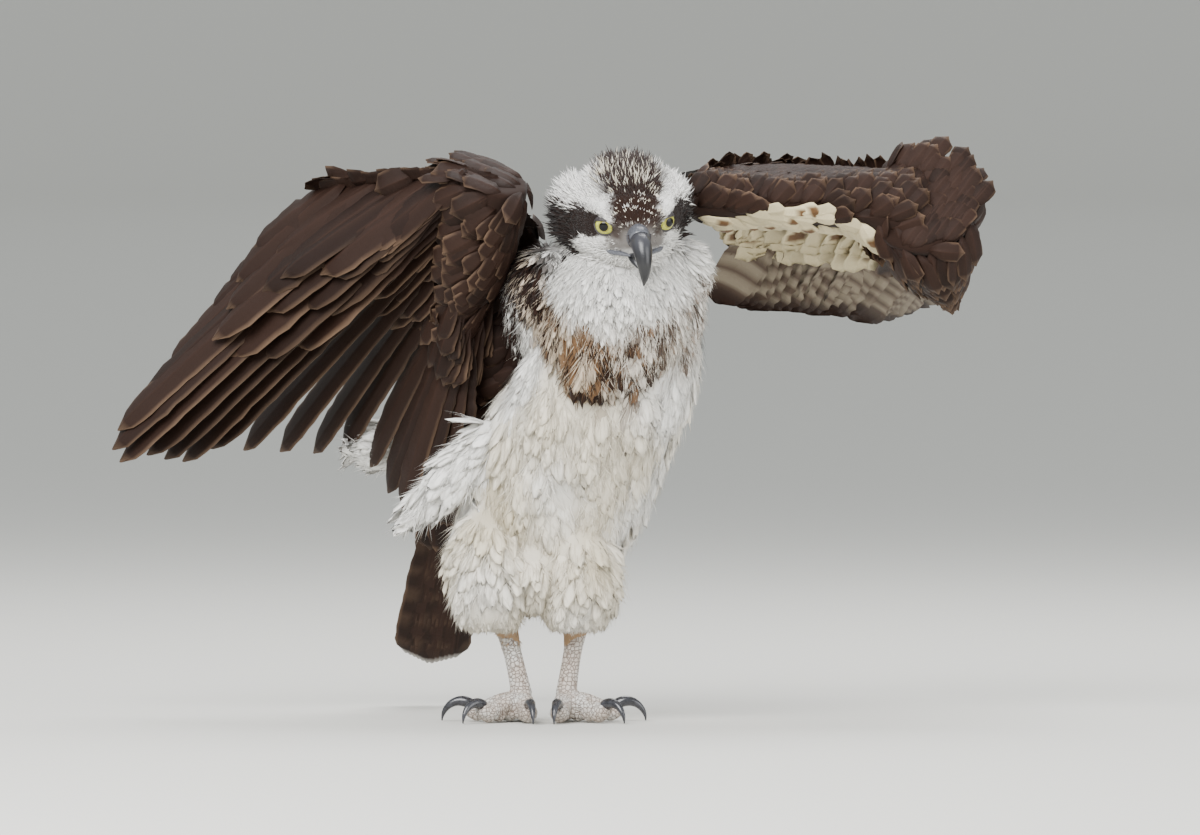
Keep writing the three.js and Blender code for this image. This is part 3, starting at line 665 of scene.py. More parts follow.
p, n, uv, tri = scatter(spacing, 21, clear_of_face)
part = tri_part[tri]
draw = np.random.default_rng(22)
way = lie_of(p, n, part)
colour = plumage_colour(p, n, part, draw.random(len(p)))
f, s, u = head_axes(p)
is_head = part == labels.index("head")
face = ramp(f, -12, 16) * is_head
ridge = is_head * ramp(u, 22, 30) * ramp(f, 20, 6)
heights = [52, 70, 84, 110, 240, 290, 330, 380]
nape = is_head * ramp(np.abs(s), 26, 40) * ramp(f, 4, -12)
chin = is_head * ramp(u, -6, -20)
length = np.where(is_head, 11 - 6 * face + 9 * ridge + 9 * nape + 8 * chin,
                  np.interp(p[:, 2], heights, [5, 7, 15, 24, 26, 19, 18, 15]))
length *= draw.uniform(0.85, 1.12, len(p))
width = np.where(is_head, 1.45 - 0.55 * face + 0.7 * chin,
                 np.interp(p[:, 2], heights, [2.4, 3.4, 8, 12, 13, 6.5, 5.0, 4.2]))
lift = np.where(is_head, 0.26 + 0.5 * ridge + 0.3 * nape - 0.08 * face + 0.2 * chin, 0.26)
lift = lift + draw.normal(0, 0.05, len(p))
curl = np.where(is_head, 0.10, 0.20) + draw.normal(0, 0.03, len(p))
# Loosened body feathers stand up in soft clumps.
lift += ~is_head * 0.24 * wave(p, 34, 16)
loose = np.isin(part, [labels.index("puff"), labels.index("flank")])
lift[loose] += 0.1
barbs("plumage_head", p[is_head], n[is_head], uv[is_head], way[is_head], length[is_head], width[is_head],
      np.full(is_head.sum(), 0.34), lift[is_head], curl[is_head], 5, colour[is_head], 30)
groups = {"breast": p[:, 2] > 262, "belly": (p[:, 2] <= 262) & (p[:, 2] > 165) & ~loose,
          "thighs": (p[:, 2] <= 165) & ~loose, "flank": loose & (p[:, 2] <= 262)}
for i, (name, mask) in enumerate(groups.items()):
    mask = mask & ~is_head
    webs("webs_" + name, p[mask], n[mask], uv[mask], way[mask], length[mask], width[mask], lift[mask],
         curl[mask], colour[mask], 40 + i)
    barbs("barbs_" + name, p[mask], n[mask], uv[mask], way[mask], length[mask] * 1.1,
          np.full(mask.sum(), 0.62), np.full(mask.sum(), 0.5), lift[mask] + 0.12, curl[mask], 9,
          colour[mask], 50 + i, 0.5)

# Wings
# Flight feathers and their coverts are stiff vanes: a shaft with a web on each side, rounded at the
# tip, cambered across and bent along. They overlap like tiles in tiers, dark above and barred below.


def vanes(name, root, tip, facing, width, shape, lean, arch, rows, paint_vane, skew=0.0, thick=0.55,
          seed=1, notch=0.05, slope=0.1):
    """One joined mesh of closed vanes. paint_vane colours them by feather, place on it and side."""
    draw = np.random.default_rng(seed)
    n = len(root)
    line = tip - root
    length = np.linalg.norm(line, axis=1)
    d = unit(line)
    across = unit(np.cross(d, facing))
    up = np.cross(across, d)
    c, k = np.cos(lean), np.sin(lean)
    across, up = across * c + up * k, up * c - across * k
    t = np.linspace(0, 1, rows + 1) ** 0.85
    s = np.array([-1, -0.78, -0.45, -0.09, 0.0, 0.09, 0.45, 0.78, 1])
    columns = len(s)
    outline = np.interp(t, *shape)
    worn = 1 + draw.normal(0, notch, (n, rows + 1)) * (outline < 0.98)
    half = width[:, None] * 0.5 * outline[None] * worn
    push = s[None, None] * half[..., None] * np.where(s[None, None] > 0, 1 + skew, 1 - skew)
    tilt_back = (np.abs(s) ** 2)[None, None] * (width[:, None, None] * slope)
    tilt_back = tilt_back * ramp(t, 0.55, 1.0)[None, :, None]
    height = (1 - s[None, None] ** 2) * half[..., None] * 0.22
    height = height - (arch[:, None] * length[:, None] * t ** 2)[..., None]
    height = height + draw.normal(0, 0.12, (n, rows + 1, columns)) * np.abs(s)[None, None]
    reach = length[:, None, None] * t[None, :, None] - tilt_back
    middle = (root[:, None, None] + d[:, None, None] * reach[..., None]
              + across[:, None, None] * push[..., None] + up[:, None, None] * height[..., None])
    body = thick * (1 - 0.75 * np.abs(s)[None, :]) * (1 - 0.5 * t[:, None]) / 2 + 0.06
    body[:, 4] += 0.42 * (1 - 0.7 * t)
    body = up[:, None, None] * body[None, ..., None]
    verts = np.stack([middle + body, middle - body], 1)
    index = np.arange(2 * (rows + 1) * columns).reshape(2, rows + 1, columns)
    quads = []
    for i in range(rows):
        for j in range(columns - 1):
            quads.append((index[0, i, j], index[0, i, j + 1], index[0, i + 1, j + 1], index[0, i + 1, j]))
            quads.append((index[1, i, j], index[1, i + 1, j], index[1, i + 1, j + 1], index[1, i, j + 1]))
        quads.append((index[0, i, 0], index[0, i + 1, 0], index[1, i + 1, 0], index[1, i, 0]))
        quads.append((index[0, i, -1], index[1, i, -1], index[1, i + 1, -1], index[0, i + 1, -1]))
    for j in range(columns - 1):
        quads.append((index[0, 0, j], index[1, 0, j], index[1, 0, j + 1], index[0, 0, j + 1]))
        quads.append((index[0, -1, j], index[0, -1, j + 1], index[1, -1, j + 1], index[1, -1, j]))
    per = index.size
    faces = (np.array(quads)[None] + np.arange(n)[:, None, None] * per).reshape(-1, 4)
    made = build(name, verts.reshape(-1, 3), faces)
    feather, below, tt, ss = (x.ravel() for x in np.meshgrid(np.arange(n), [0, 1], t, s, indexing="ij"))
    own = draw.random(n)[feather]
    set_tint(made, paint_vane(feather, ss, tt, below, length[feather], width[feather], own))
    grid = math.ceil(math.sqrt(2 * n))
    tile = feather * 2 + below
    bake = np.stack([tile % grid + 0.06 + 0.88 * (ss + 1) / 2, tile // grid + 0.04 + 0.92 * tt], 1) / grid
    lie = np.stack([ss * width[feather] * 0.5, tt * length[feather]], 1) * 0.001
    for key, flat in (("OFBake", bake), ("Barbs", lie)):
        layer = made.data.uv_layers.new(name=key)
        layer.data.foreach_set("uv", flat[faces.ravel()].astype(np.float32).ravel())
    made.data.materials.append(web)
    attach(made, "root")
    return made


web, at, shader = material("feather_webs", 0.62, Specular_IOR_Level=0.14)
tint = at.node("ShaderNodeAttribute", {}, attribute_name="Tint")
x = at.node("ShaderNodeSeparateXYZ", {"Vector": at.node("ShaderNodeUVMap", {}, uv_map="Barbs")})
y = Sock(at.tree, x.socket.node.outputs[1])
slant = y - x.math("ABSOLUTE", x) * 0.9
lines = slant.math("SINE", slant * 5200.0)
clumps = at.node("ShaderNodeTexNoise", {"Vector": at, "Scale": 420.0, "Detail": 3.0})
drawn_out = at.node("ShaderNodeCombineXYZ", {"X": slant * 900.0, "Y": x * 60.0})
streaks = at.node("ShaderNodeTexNoise", {"Vector": drawn_out})
feed(at.node("ShaderNodeMix", {0: streaks.step(0.35, 0.7) * 0.34, 6: tint, 7: (0.45, 0.40, 0.36, 1)},
             output=2, data_type="RGBA", blend_type="MULTIPLY"), shader, "Base Color")
relief = lines * 0.4 + clumps
feed(at.node("ShaderNodeBump", {"Height": relief, "Strength": 0.35, "Distance": 0.0004}), shader, "Normal")
feed(streaks * 0.25 + 0.48, shader, "Roughness")

# A vane's outline: places along it, and its share of the full width at each.
LONG = ([0, 0.03, 0.16, 0.34, 0.62, 0.88, 0.96, 0.99, 1],
        [0.10, 0.12, 0.50, 0.80, 1.0, 0.96, 0.80, 0.50, 0.2])
BLUNT = ([0, 0.03, 0.2, 0.4, 0.8, 0.93, 0.98, 1], [0.10, 0.14, 0.6, 0.85, 1.0, 0.94, 0.66, 0.2])
ROUND = ([0, 0.04, 0.25, 0.55, 0.82, 0.92, 0.97, 1], [0.16, 0.3, 0.78, 1.0, 0.96, 0.78, 0.52, 0.16])
RIM = np.array([0.19, 0.12, 0.075])


def brown_web(feather, s, t, below, length, width, own):
    """Dark brown with a worn pale rim round the tip, a little paler near the shaft."""
    tone = BROWN[None] * (0.62 + 0.6 * own)[:, None]
    tone = paint(tone, BROWN * 1.7, 0.35 * ramp(np.abs(s), 0.6, 0.0) * ramp(t, 0.9, 0.4))
    rim = ramp(np.abs(s), 0.86, 1.0) * ramp(t, 0.35, 0.8) + ramp(t, 0.965, 1.0)
    tone = paint(tone, RIM, np.clip(rim, 0, 1) * (0.25 + 0.5 * own))
    return paint(tone, BROWN * 1.6, 0.5 * (np.abs(s) < 0.05))


def flight_web(feather, s, t, below, length, width, own):
    """Brown above. Below, grey-white darkened by painted shade, with brown bars on the broad web and a dark
    end.
    """
    tone = brown_web(feather, s, t, below, length, width, own)
    bars = np.sin(t * length * 2 * np.pi / 24 + own * 1.5)
    # Painted shade: the underside's grey-white is laid down far darker than its own colour.
    under = paint(np.tile([0.27, 0.225, 0.165], (len(s), 1)), BROWN * 2.6, ramp(bars, -0.1, 0.35) * 0.8)
    under = paint(under, BROWN * 1.2, ramp(t, 0.84, 0.93))
    return tone * (1 - below[:, None]) + under * below[:, None]


def cream_web(feather, s, t, below, length, width, own):
    """The lining of the wing: cream, some with an oval brown spot."""
    tone = np.tile([0.60, 0.52, 0.33], (len(s), 1)) * (0.85 + 0.3 * own)[:, None]
    spot = (own > 0.80) * ramp(((t - 0.72) / 0.2) ** 2 + (s / 0.6) ** 2, 1.1, 0.8)
    return paint(tone, RUFOUS * 0.8, spot)


def root_row(wing, share, t):
    """Where a tier's feathers root on the arm. share moves the row from its rear edge to its front."""
    s, e, w = (np.array(wing[k], float) for k in ("shoulder", "elbow", "wrist"))
    return along_row([mix(mix(s, e, 0.86), s, share), mix(e, mix(s, w, 0.3), share),
                      mix(mix(e, w, 0.5), mix(s, w, 0.7), share), mix(e, w, 0.93)], t)


def tier(name, wing, hand, count, reach, width, lift, shape=ROUND, share=0.0, rows=10, look=brown_web,
         skew=0.0, lean=-15.0, jitter=0.03, seed=1, span=(0, 1)):
    """One tier of overlapping vanes, on the arm or on the hand."""
    draw = np.random.default_rng(seed)
    t = np.linspace(span[0], span[1], count)
    middle = mix(wing["facing"][0], wing["facing"][1], 0.5)
    ends = (middle, wing["facing"][1]) if hand else (wing["facing"][0], middle)
    facing = unit(mix(ends[0], ends[1], t[:, None]))
    if hand:
        w, h = np.array(wing["wrist"], float), np.array(wing["hand"], float)
        roots = along_row([mix(w, h, 0.05), mix(w, h, 0.5), mix(w, h, 0.97)], t)
    else:
        roots = root_row(wing, share, t)
    tips = along_row(wing["primaries" if hand else "secondaries"], t)
    roots = roots + facing * lift
    tips = tips + facing * lift
    ends = roots + (tips - roots) * (reach * (1 + draw.normal(0, jitter, count)))[:, None]
    ends += draw.normal(0, 1.2, (count, 3)) * (reach < 0.9)
    facing = unit(facing + draw.normal(0, 0.035, (count, 3)))
    wide = np.full(count, float(width)) * draw.uniform(0.93, 1.07, count)
    lean = np.radians(lean + draw.normal(0, 2.0, count))[:, None]
    arch = np.full(count, 0.05 * reach)
    return vanes(name, roots, ends, facing, wide, shape, lean, arch, rows, look, skew=skew, seed=seed)


# A tier's row below: on the hand or not, how many, share of the flight feathers' length, width, how
# far above the wing's middle, and what else differs. The right wing's lining lies deeper.
for wing_name, wing in WINGS.items():
    right = wing_name == "right"
    seed, under_lean, deeper = (100, -15.0, -9) if right else (200, 15.0, 0)
    lining = dict(look=cream_web, lean=under_lean, span=(0, 0.78) if right else (0, 1))
    tiers = [
        ("secondaries", False, 15, 1.0, 36, -6,
         dict(shape=LONG, rows=26, look=flight_web, skew=0.12, jitter=0.012)),
        ("greater_coverts", False, 9, 0.62, 47, 3, dict(rows=16, jitter=0.05)),
        ("median_coverts", False, 8, 0.49, 46, 11, dict(rows=14, share=0.2, jitter=0.06)),
        ("lesser_coverts_1", False, 8, 0.40, 43, 17, dict(rows=13, share=0.38, jitter=0.07)),
        ("lesser_coverts_2", False, 9, 0.33, 38, 20, dict(rows=12, share=0.54, jitter=0.08)),
        ("lesser_coverts_3", False, 9, 0.27, 36, 22, dict(share=0.7, jitter=0.09)),
        ("lesser_coverts_4", False, 10, 0.22, 32, 21, dict(share=0.86, jitter=0.09)),
        ("under_coverts_1", False, 13, 0.52, 30, -12 + deeper, lining),
        ("under_coverts_2", False, 12, 0.36, 28, -16 + deeper, dict(lining, share=0.2)),
        ("under_coverts_3", False, 12, 0.24, 24, -19 + deeper, dict(lining, share=0.45)),
        ("primaries", True, 10, 1.0, 33, -6,
         dict(shape=LONG, rows=28, look=flight_web, skew=0.25, jitter=0.01)),
        ("primary_coverts", True, 10, 0.44, 27, 3, dict(rows=12)),
        ("primary_coverts_2", True, 10, 0.3, 24, 9, dict()),
        ("alula", True, 4, 0.28, 22, 14, dict(span=(0.5, 1.0))),
        ("under_primary_coverts", True, 9, 0.5, 30, -13, dict(lean=under_lean)),
        ("under_primary_coverts_2", True, 8, 0.3, 28, -22, dict(lean=under_lean)),
    ]
    for k, (kind, hand, count, reach, width, lift, more) in enumerate(tiers):
        tier(f"{kind}_{wing_name}", wing, hand, count, reach, width, lift, seed=seed + k, **more)

# The wing's fleshy edge carries small scale-like coverts in close rows.
for wing_name, wing in WINGS.items():
    s, e, w, h = (np.array(wing[k], float) for k in ("shoulder", "elbow", "wrist", "hand"))
    cover = 11.0 if wing_name == "right" else 8.6
    mine = [labels.index("arm_" + wing_name), labels.index("hand_" + wing_name)]
    mine = np.isin(tri_part, mine + [labels.index("blade")] * (wing_name == "right"))
    p, n, uv, tri = scatter(np.where(mine, cover, 900.0), 41, lambda p, n, tri: mine[tri])
    trail = unit(np.mean(wing["secondaries"], axis=0) - (e + w) / 2)
    way = unit(trail * 0.8 + unit(w - e) * (0.55 if wing_name == "left" else -0.75))
    # On the level wing they point up and over its leading edge, and round its wrist they curl down.
    curled = (wing_name == "left") * ramp(p[:, 0], 205, 250) * ramp(n[:, 2], -0.1, -0.6)
    raised = (wing_name == "left") * ramp(n[:, 2], -0.95, -0.85) * (1 - curled)
    way = way + curled[:, None] * (0.25, -0.3, -1.5) + raised[:, None] * (0.5, 0, 1.5)
    way = unit(way - n * (n * way).sum(1)[:, None] * (1 - 0.5 * curled)[:, None])
    draw = np.random.default_rng(42)
    length = draw.uniform(2.4, 3.3, len(p)) * cover * (1 + 0.35 * curled)
    facing = unit(n + way * 0.18)
    upper = unit(wing["facing"][0])
    below = (n @ upper < -0.82) & (wing_name == "left") & (part_of(p) != labels.index("hand_" + wing_name))
    for kind, mask, look in (("marginal", ~below, brown_web), ("lining", below, cream_web)):
        if mask.sum() > 8:
            tips = (p + way * length[:, None] + n * 3.2)[mask]
            wide = draw.uniform(1.6, 2.1, mask.sum()) * cover
            vanes(f"{kind}_coverts_{wing_name}", p[mask] - n[mask] * 0.5, tips, facing[mask], wide, ROUND,
                  np.zeros((mask.sum(), 1)), np.full(mask.sum(), 0.12), 5, look, seed=43)
    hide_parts(f"wing_arm_{wing_name}")
    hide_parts(f"wing_hand_{wing_name}")

# Tail
# Twelve blunt tail feathers in a narrow fan, brown with faint paler bars, with their coverts over the
# roots. On their undersides the brown is painted shade, in place of their own paler barred colour.
tail_line = unit(TAIL_TIP - TAIL_ROOT)
tail_side = unit(np.array([1.0, 0, 0]) - tail_line * tail_line[0])
tail_up = np.cross(tail_side, tail_line)
tail_up = tail_up if tail_up[1] < 0 else -tail_up


def tail_web(feather, s, t, below, length, width, own):
    """Brown with faint bars and a thin worn white tip. On the underside the brown is painted shade."""
    # Both sides take the brown of the upper side: on the underside it is painted shade.
    tone = brown_web(feather, s, t, below, length, width, own)
    bars = ramp(np.sin(t * length * 2 * np.pi / 26), 0.1, 0.7) * ramp(np.abs(s), 0.1, 0.4)
    tone = paint(tone, RIM * 0.9, bars * (0.18 + 0.22 * below))
    return paint(tone, WHITE * 0.8, ramp(t, 0.985, 1.0) * 0.6)


k = np.linspace(-1, 1, 12)
roots = TAIL_ROOT + tail_side * (k * 12)[:, None]
tips = TAIL_TIP + tail_side * (k * 19)[:, None] - tail_line * (9 * np.abs(k))[:, None]
tail = vanes("tail_feathers", roots, tips, np.tile(tail_up, (12, 1)), np.full(12, 25.0), BLUNT,
             np.full((12, 1), math.radians(8)), np.full(12, 0.03), 26, tail_web, seed=61, slope=0.08)
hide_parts("tail")
for row, (count, reach, rise) in enumerate([(9, 0.42, 5), (9, 0.3, 9), (8, 0.18, 13)]):
    k = np.linspace(-1, 1, count)
    base = TAIL_ROOT - tail_line * (6 * row) + tail_side * (k * 13)[:, None]
    base = base + tail_up * (rise - 3 * k ** 2)[:, None]
    ends = base + (TAIL_TIP - TAIL_ROOT) * reach + tail_side * (k * 6)[:, None] + tail_up * 1.0
    vanes(f"tail_coverts_{row}", base, ends, np.tile(tail_up, (count, 1)), np.full(count, 22.0), ROUND,
          np.full((count, 1), math.radians(6)), np.full(count, 0.03), 10, brown_web, seed=62 + row)

# Eyes
# Glossy yellow eyes with a round black pupil, each set in a thin dark ring of bare skin. The upper
# lid and the ridge over it cut across the top of the eye.
eye_look, at, shader = material("eye", 0.05, Specular_IOR_Level=0.3)
turned = at.node("ShaderNodeSeparateXYZ", {"Vector": at.node("ShaderNodeUVMap", {}, uv_map="Gaze")})
angle = Sock(at.tree, turned.socket.node.outputs[1])
outward = at.node("ShaderNodeCombineXYZ", {"X": turned * 60.0, "Y": angle * 3.0})
rays = at.node("ShaderNodeTexNoise", {"Vector": outward, "Scale": 1.0, "Detail": 3.0})
iris = rays.step(0.3, 0.75).blend((0.40, 0.41, 0.05, 1), (0.62, 0.63, 0.14, 1))
iris = angle.step(0.165, 0.20).blend((0.30, 0.27, 0.05, 1), iris)
iris = angle.step(0.325, 0.365).blend(iris, (0.02, 0.016, 0.012, 1))
feed(angle.step(0.132, 0.146).blend((0.002, 0.002, 0.002, 1), iris), shader, "Base Color")
bare, at, shader = material("bare_skin", 0.5, Specular_IOR_Level=0.4)
folds = at.node("ShaderNodeTexNoise", {"Vector": at, "Scale": 900.0, "Detail": 3.0})
feed(folds.step(0.3, 0.7).blend((0.020, 0.016, 0.016, 1), (0.055, 0.048, 0.050, 1)), shader, "Base Color")
feed(at.node("ShaderNodeBump", {"Height": folds, "Strength": 0.5, "Distance": 0.0004}), shader, "Normal")
for name, sign in (("left", 1), ("right", -1)):
    centre = in_head(EYE[0], sign * EYE[1], EYE[2])
    gaze = unit(forward * 0.86 + side * sign * 0.42 + crown * 0.20)
    a = unit(np.cross(gaze, crown))
    b = np.cross(a, gaze)
    polar = np.linspace(0, math.pi, 33)
    dome = np.where(polar < 0.75, 1 + 0.05 * np.cos(polar / 0.75 * math.pi / 2), 1.0)
    ahead = (np.cos(polar) * dome * EYE_RADIUS)[1:-1, None]
    wide = (np.sin(polar) * dome * EYE_RADIUS)[1:-1]
    verts, faces = loft(centre + gaze * ahead, a, b, wide, wide, 48)
    verts[-2], verts[-1] = centre + gaze * EYE_RADIUS * 1.05, centre - gaze * EYE_RADIUS
    ball = build("eyeball_" + name, verts, faces)
    offset = verts - centre
    up_angle = np.arccos(np.clip(unit(offset) @ gaze, -1, 1)) / math.pi
    round_angle = np.arctan2(offset @ b, offset @ a) / (2 * math.pi) + 0.5
    layer = ball.data.uv_layers.new(name="Gaze")
    loop_vertex = np.array([l.vertex_index for l in ball.data.loops])
    layer.data.foreach_set("uv", np.stack([round_angle, up_angle], 1)[loop_vertex].astype(np.float32).ravel())
    ball.data.materials.append(eye_look)
    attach(ball, "root")
    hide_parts("eye_" + name)
    # Each lid is a fold of bare skin that lies on the eyeball and ends in a rounded edge.
    for lid, (way_up, level) in {"upper": (1, 0.46), "lower": (-1, 0.78)}.items():
        w, v = np.meshgrid(np.linspace(0, math.pi, 31), np.linspace(0, 1, 7), indexing="ij")
        across = np.cos(w) * 0.99
        upward = way_up * np.sin(w) * (level + (0.99 - level) * v)
        depth = np.sqrt(np.maximum(0, 1 - across ** 2 - upward ** 2))
        place = a * across[..., None] + b * upward[..., None] + gaze * depth[..., None]
        swell = 1.09 + 0.05 * np.sin(v * math.pi)
        shell = [centre + place * (EYE_RADIUS * k)[..., None] for k in (swell, np.full_like(swell, 0.96))]
        index = np.arange(2 * 31 * 7).reshape(2, 31, 7)
        rim = [index[:, i, 0] for i in range(31)] + [index[:, -1, j] for j in range(1, 7)]
        rim += [index[:, i, -1] for i in range(29, -1, -1)] + [index[:, 0, j] for j in range(5, 0, -1)]
        quads = [(q, q + 1, q + 8, q + 7) for q in index[0, :-1, :-1].ravel()]
        quads += [(q, q + 7, q + 8, q + 1) for q in index[1, :-1, :-1].ravel()]
        quads += [(x[0], x[1], y[1], y[0]) for x, y in zip(rim, rim[1:] + rim[:1])]
        quads = [tuple(int(i) for i in quad) for quad in quads]
        fold = build(f"lid_{lid}_{name}", np.concatenate([sheet.reshape(-1, 3) for sheet in shell]), quads)
        bpy.context.view_layer.objects.active = fold
        bpy.ops.object.select_all(action="DESELECT")
        fold.select_set(True)
        bpy.ops.object.mode_set(mode="EDIT")
        bpy.ops.mesh.select_all(action="SELECT")
        bpy.ops.mesh.normals_make_consistent(inside=False)
        bpy.ops.object.mode_set(mode="OBJECT")
        fold.data.materials.append(bare)
        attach(fold, "root")

# Bill
# A short deep bill with a long hook. Soft blue-grey cere covers its root and holds the slanted
# nostrils, and fleshy lips run back from it to the corners of the mouth.
horn, at, shader = material("bill_horn", 0.32, Coat_Weight=0.25, Coat_Roughness=0.25)
length_on = at.node("ShaderNodeAttribute", {}, output=2, attribute_name="Reach")
grain = at.node("ShaderNodeTexNoise", {"Vector": at, "Scale": 700.0, "Detail": 4.0})
cere = grain.step(0.25, 0.8).blend((0.055, 0.058, 0.070, 1), (0.115, 0.118, 0.135, 1))
tone = length_on.step(0.30, 0.42).blend(cere, (0.036, 0.036, 0.043, 1))
feed(length_on.step(0.50, 0.72).blend(tone, (0.008, 0.008, 0.010, 1)), shader, "Base Color")
feed(at.node("ShaderNodeBump", {"Height": grain, "Strength": 0.25, "Distance": 0.0004}), shader, "Normal")


def reach_attribute(made, values):
    """Stores how far along the bill each vertex lies, for the horn's colour."""
    layer = made.data.attributes.new("Reach", "FLOAT", "POINT")
    layer.data.foreach_set("value", np.asarray(values, np.float32))


def bill_half(name, spine, radii, flat, node, start=0.0):
    """One half of the bill through places forward and up in the head's axes."""
    t = np.linspace(0, 1, 60)
    ahead, raised = np.array(spine, float).T
    centres = along_row(in_head(ahead, np.zeros(len(ahead)), raised), t)
    tangent = unit(np.gradient(centres, axis=0))
    across = np.broadcast_to(side, tangent.shape)
    up = unit(np.cross(tangent, across)) * (1 if np.dot(np.cross(tangent[0], side), crown) > 0 else -1)
    r = np.maximum(along_row(np.array(radii, float)[:, None], t)[:, 0], 0.3)
    verts, faces = loft(centres, across, up, r, r * flat, 40)
    made = build(name, verts, faces)
    ring = np.repeat(t, 40)
    reach_attribute(made, np.append(ring, [0, 1]) * (1 - start) + start)
    made.data.materials.append(horn)
    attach(made, "root")
    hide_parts(node)
    return made


bill_half("bill_top", [(24, 0.4), (31, 1.8), (35, 2.2), (38, 1.5), (44, 1.4), (50, -2.0), (56, -9),
                       (58.6, -17), (57.4, -25.6)],
          [9.0, 9.0, 8.6, 7.7, 7.6, 6.9, 5.3, 3.3, 0.5], 1.12, "bill_upper")
bill_half("bill_under", [(24, -11.5), (34, -13), (42, -14.5), (48.5, -16.5)],
          [8.2, 7.6, 6.0, 2.0], 0.5, "bill_lower", start=0.35)
lip_ahead, lip_across, lip_up = np.array([[39, 32, 26, 21], [6.6, 13, 18.5, 21.5], [-9.6, -11, -12.5, -12]])
slit_ahead, slit_across, slit_up = np.array([[35.2, 37.6], [8.7, 7.9], [6.2, 1.2]])
for name, sign in (("left", 1), ("right", -1)):
    lip_line = in_head(lip_ahead, sign * lip_across, lip_up)
    verts, faces = rod(lip_line, [1.1, 2.2, 2.3, 1.2], 14, 30, 0.8, crown)
    lip = build("lip_" + name, verts, faces)
    reach_attribute(lip, np.full(len(verts), 0.12))
    lip.data.materials.append(horn)
    verts, faces = rod(in_head(slit_ahead, sign * slit_across, slit_up), [0.9, 1.3], 12, 12, 0.55, side)
    slit = build("nostril_" + name, verts, faces)
    slit.data.materials.append(bare)
    for made in (lip, slit):
        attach(made, "root")

# Legs and feet
# Short stout bare legs covered in small round scales. Each foot has three toes that spread forward
# and out and one behind, padded below, and each toe ends in a long round hooked claw.
LEGS = {"left": dict(ankle=(13, 2, 26), knee=(24, 6, 84), toes=(-9, 44, 92, 176)),
        "right": dict(ankle=(-20, 2, 26), knee=(-36, 6, 84), toes=(9, -44, -92, -176))}
TOES = dict(inner=38, middle=45, outer=42, hind=32)
TOE_HEIGHTS = ((0, 14), (0.33, 14.5), (0.62, 10), (0.82, 8.2), (1, 12))
CLAW_RADII = [4.2, 4.0, 3.3, 2.5, 1.6, 0.5]
CLAW_BEND = 14
scales, at, shader = material("leg_scales", 0.55, Specular_IOR_Level=0.4)
scale_grid = {"Vector": at, "Scale": 330.0, "Randomness": 0.8}
cells = at.node("ShaderNodeTexVoronoi", scale_grid, feature="F1")
gaps = at.node("ShaderNodeTexVoronoi", scale_grid, feature="DISTANCE_TO_EDGE")
patches = at.node("ShaderNodeTexNoise", {"Vector": at, "Scale": 60.0, "Detail": 3.0})
tone = patches.step(0.35, 0.65).blend((0.50, 0.43, 0.37, 1), (0.62, 0.60, 0.56, 1))
feed(gaps.step(0.0, 0.09).blend((0.17, 0.125, 0.10, 1), tone), shader, "Base Color")
relief = gaps.step(0.0, 0.16) - cells * 0.4
feed(at.node("ShaderNodeBump", {"Height": relief, "Strength": 0.8, "Distance": 0.0009}), shader, "Normal")
claw_look, at, shader = material("claw_horn", 0.22, Coat_Weight=0.4, Coat_Roughness=0.15)
grain = at.node("ShaderNodeTexNoise", {"Vector": at, "Scale": 240.0, "Detail": 3.0})
feed(grain.step(0.3, 0.7).blend((0.012, 0.012, 0.015, 1), (0.035, 0.035, 0.042, 1)), shader, "Base Color")
for name, leg in LEGS.items():
    ankle, knee = np.array(leg["ankle"], float), np.array(leg["knee"], float)
    parts = [rod([ankle - (0, 0, 6), mix(ankle, knee, 0.45), knee], [7.9, 6.9, 9.6], 32, 30, 1.0, (0, 1, 0))]
    for heading, (toe, n) in zip(leg["toes"], TOES.items()):
        out = np.array([math.sin(math.radians(heading)), -math.cos(math.radians(heading)), 0])
        base = ankle * (1, 1, 0)
        path = np.array([base + out * n * k + (0, 0, z) for k, z in TOE_HEIGHTS])
        parts.append(rod(path, [9.4, 7.4, 6.9, 7.2, 5.0], 24, 30))
        for k, z, r in ((0.3, 8.4, 7.6), (0.56, 6.9, 6.3), (0.80, 6.4, 6.0)):
            parts.append(egg(base + out * n * k + (0, 0, z), (r, r, r), 20))
        sweep = np.radians(np.linspace(120, 0, 40))
        arc = np.stack([np.cos(sweep), 1.05 * np.sin(sweep)], 1) * CLAW_BEND
        arc = arc - arc[0]
        points = path[-1] + out * (arc[:, :1] - 3) + np.array([0, 0, 1.0]) * (arc[:, 1:] + 2.5)
        points[:, 2] += 0.75 - points[:, 2].min()
        radii = along_row(np.array(CLAW_RADII)[:, None], np.linspace(0, 1, 40))[:, 0]
        verts, faces = rod(points, radii, 18, 40, 1.0, (-out[1], out[0], 0))
        claw = build(f"claw_{toe}_shaped_{name}", verts, faces)
        claw.data.materials.append(claw_look)
        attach(claw, "root")
        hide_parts(f"claw_{toe}_{name}")
    foot = fuse("scaled_leg_" + name, parts, 0.0011, 6)
    co = np.array([v.co for v in foot.data.vertices])
    co[:, 2] = np.maximum(co[:, 2], 0.0002)
    foot.data.vertices.foreach_set("co", co.astype(np.float32).ravel())
    foot.data.materials.append(scales)
    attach(foot, "root")
    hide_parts("shin_" + name, "foot_" + name)

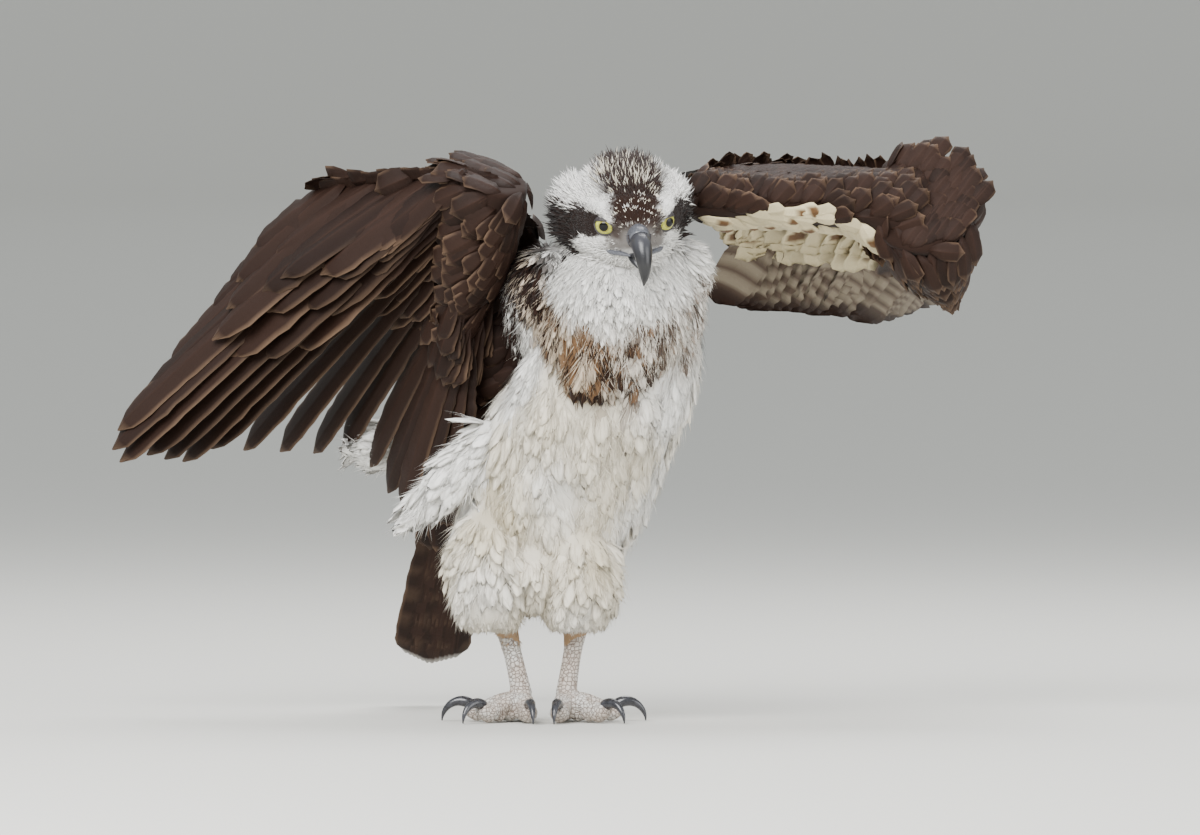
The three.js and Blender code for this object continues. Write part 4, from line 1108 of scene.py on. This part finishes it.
# Floor, light and camera
# A plain pale sweep under soft light from above, seen through a long lens from a little above the head.
# It curves up far behind, so that it hides nothing when the bird is seen from the back.
FLOOR_REACH, CURVE_START, CURVE = 60000, 40000, 12000
sweep = np.radians(np.linspace(0, 90, 24))
profile = [(CURVE_START + CURVE * math.sin(a), CURVE * (1 - math.cos(a))) for a in sweep]
profile = [(-FLOOR_REACH, 0)] + profile + [(CURVE_START + CURVE, CURVE_START)]
floor = build("floor", [(x, y, z) for y, z in profile for x in (-FLOOR_REACH, FLOOR_REACH)],
              [(2 * i, 2 * i + 1, 2 * i + 3, 2 * i + 2) for i in range(len(profile) - 1)])
floor_look, at, shader = material("pale_floor", 0.9)
shader.inputs["Base Color"].default_value = (0.62, 0.61, 0.57, 1)
floor.data.materials.append(floor_look)
world = bpy.data.worlds.new("soft_sky")
world.use_nodes = True
world.node_tree.nodes["Background"].inputs["Color"].default_value = (0.86, 0.90, 0.92, 1)
world.node_tree.nodes["Background"].inputs["Strength"].default_value = 0.95
bpy.context.scene.world = world
aim = Vector(((38.6 - ORIGIN[0]) * 0.001, -ORIGIN[1] * 0.001, 0.2284))
for name, place, size, power in (
        ("key", (-1.0, -2.6, 2.2), 2.2, 205),
        ("fill", (2.4, -1.8, 0.9), 2.4, 60),
        ("top", (0.4, 1.2, 2.6), 2.0, 85)):
    lamp = bpy.data.lights.new(name, "AREA")
    lamp.size, lamp.energy = size, power
    lamp_object = bpy.data.objects.new(name, lamp)
    lamp_object.location = place
    lamp_object.rotation_euler = (aim - Vector(place)).to_track_quat("-Z", "Y").to_euler()
    bpy.context.collection.objects.link(lamp_object)
camera = bpy.data.cameras.new("camera")
camera.lens = 400
camera.sensor_width = 36
camera.clip_end = 200
camera_object = bpy.data.objects.new("camera", camera)
rise = math.radians(1.5)
camera_object.location = aim + Vector((0, -10 * math.cos(rise), 10 * math.sin(rise)))
camera_object.rotation_euler = (aim - camera_object.location).to_track_quat("-Z", "Y").to_euler()
bpy.context.collection.objects.link(camera_object)
bpy.context.scene.camera = camera_object
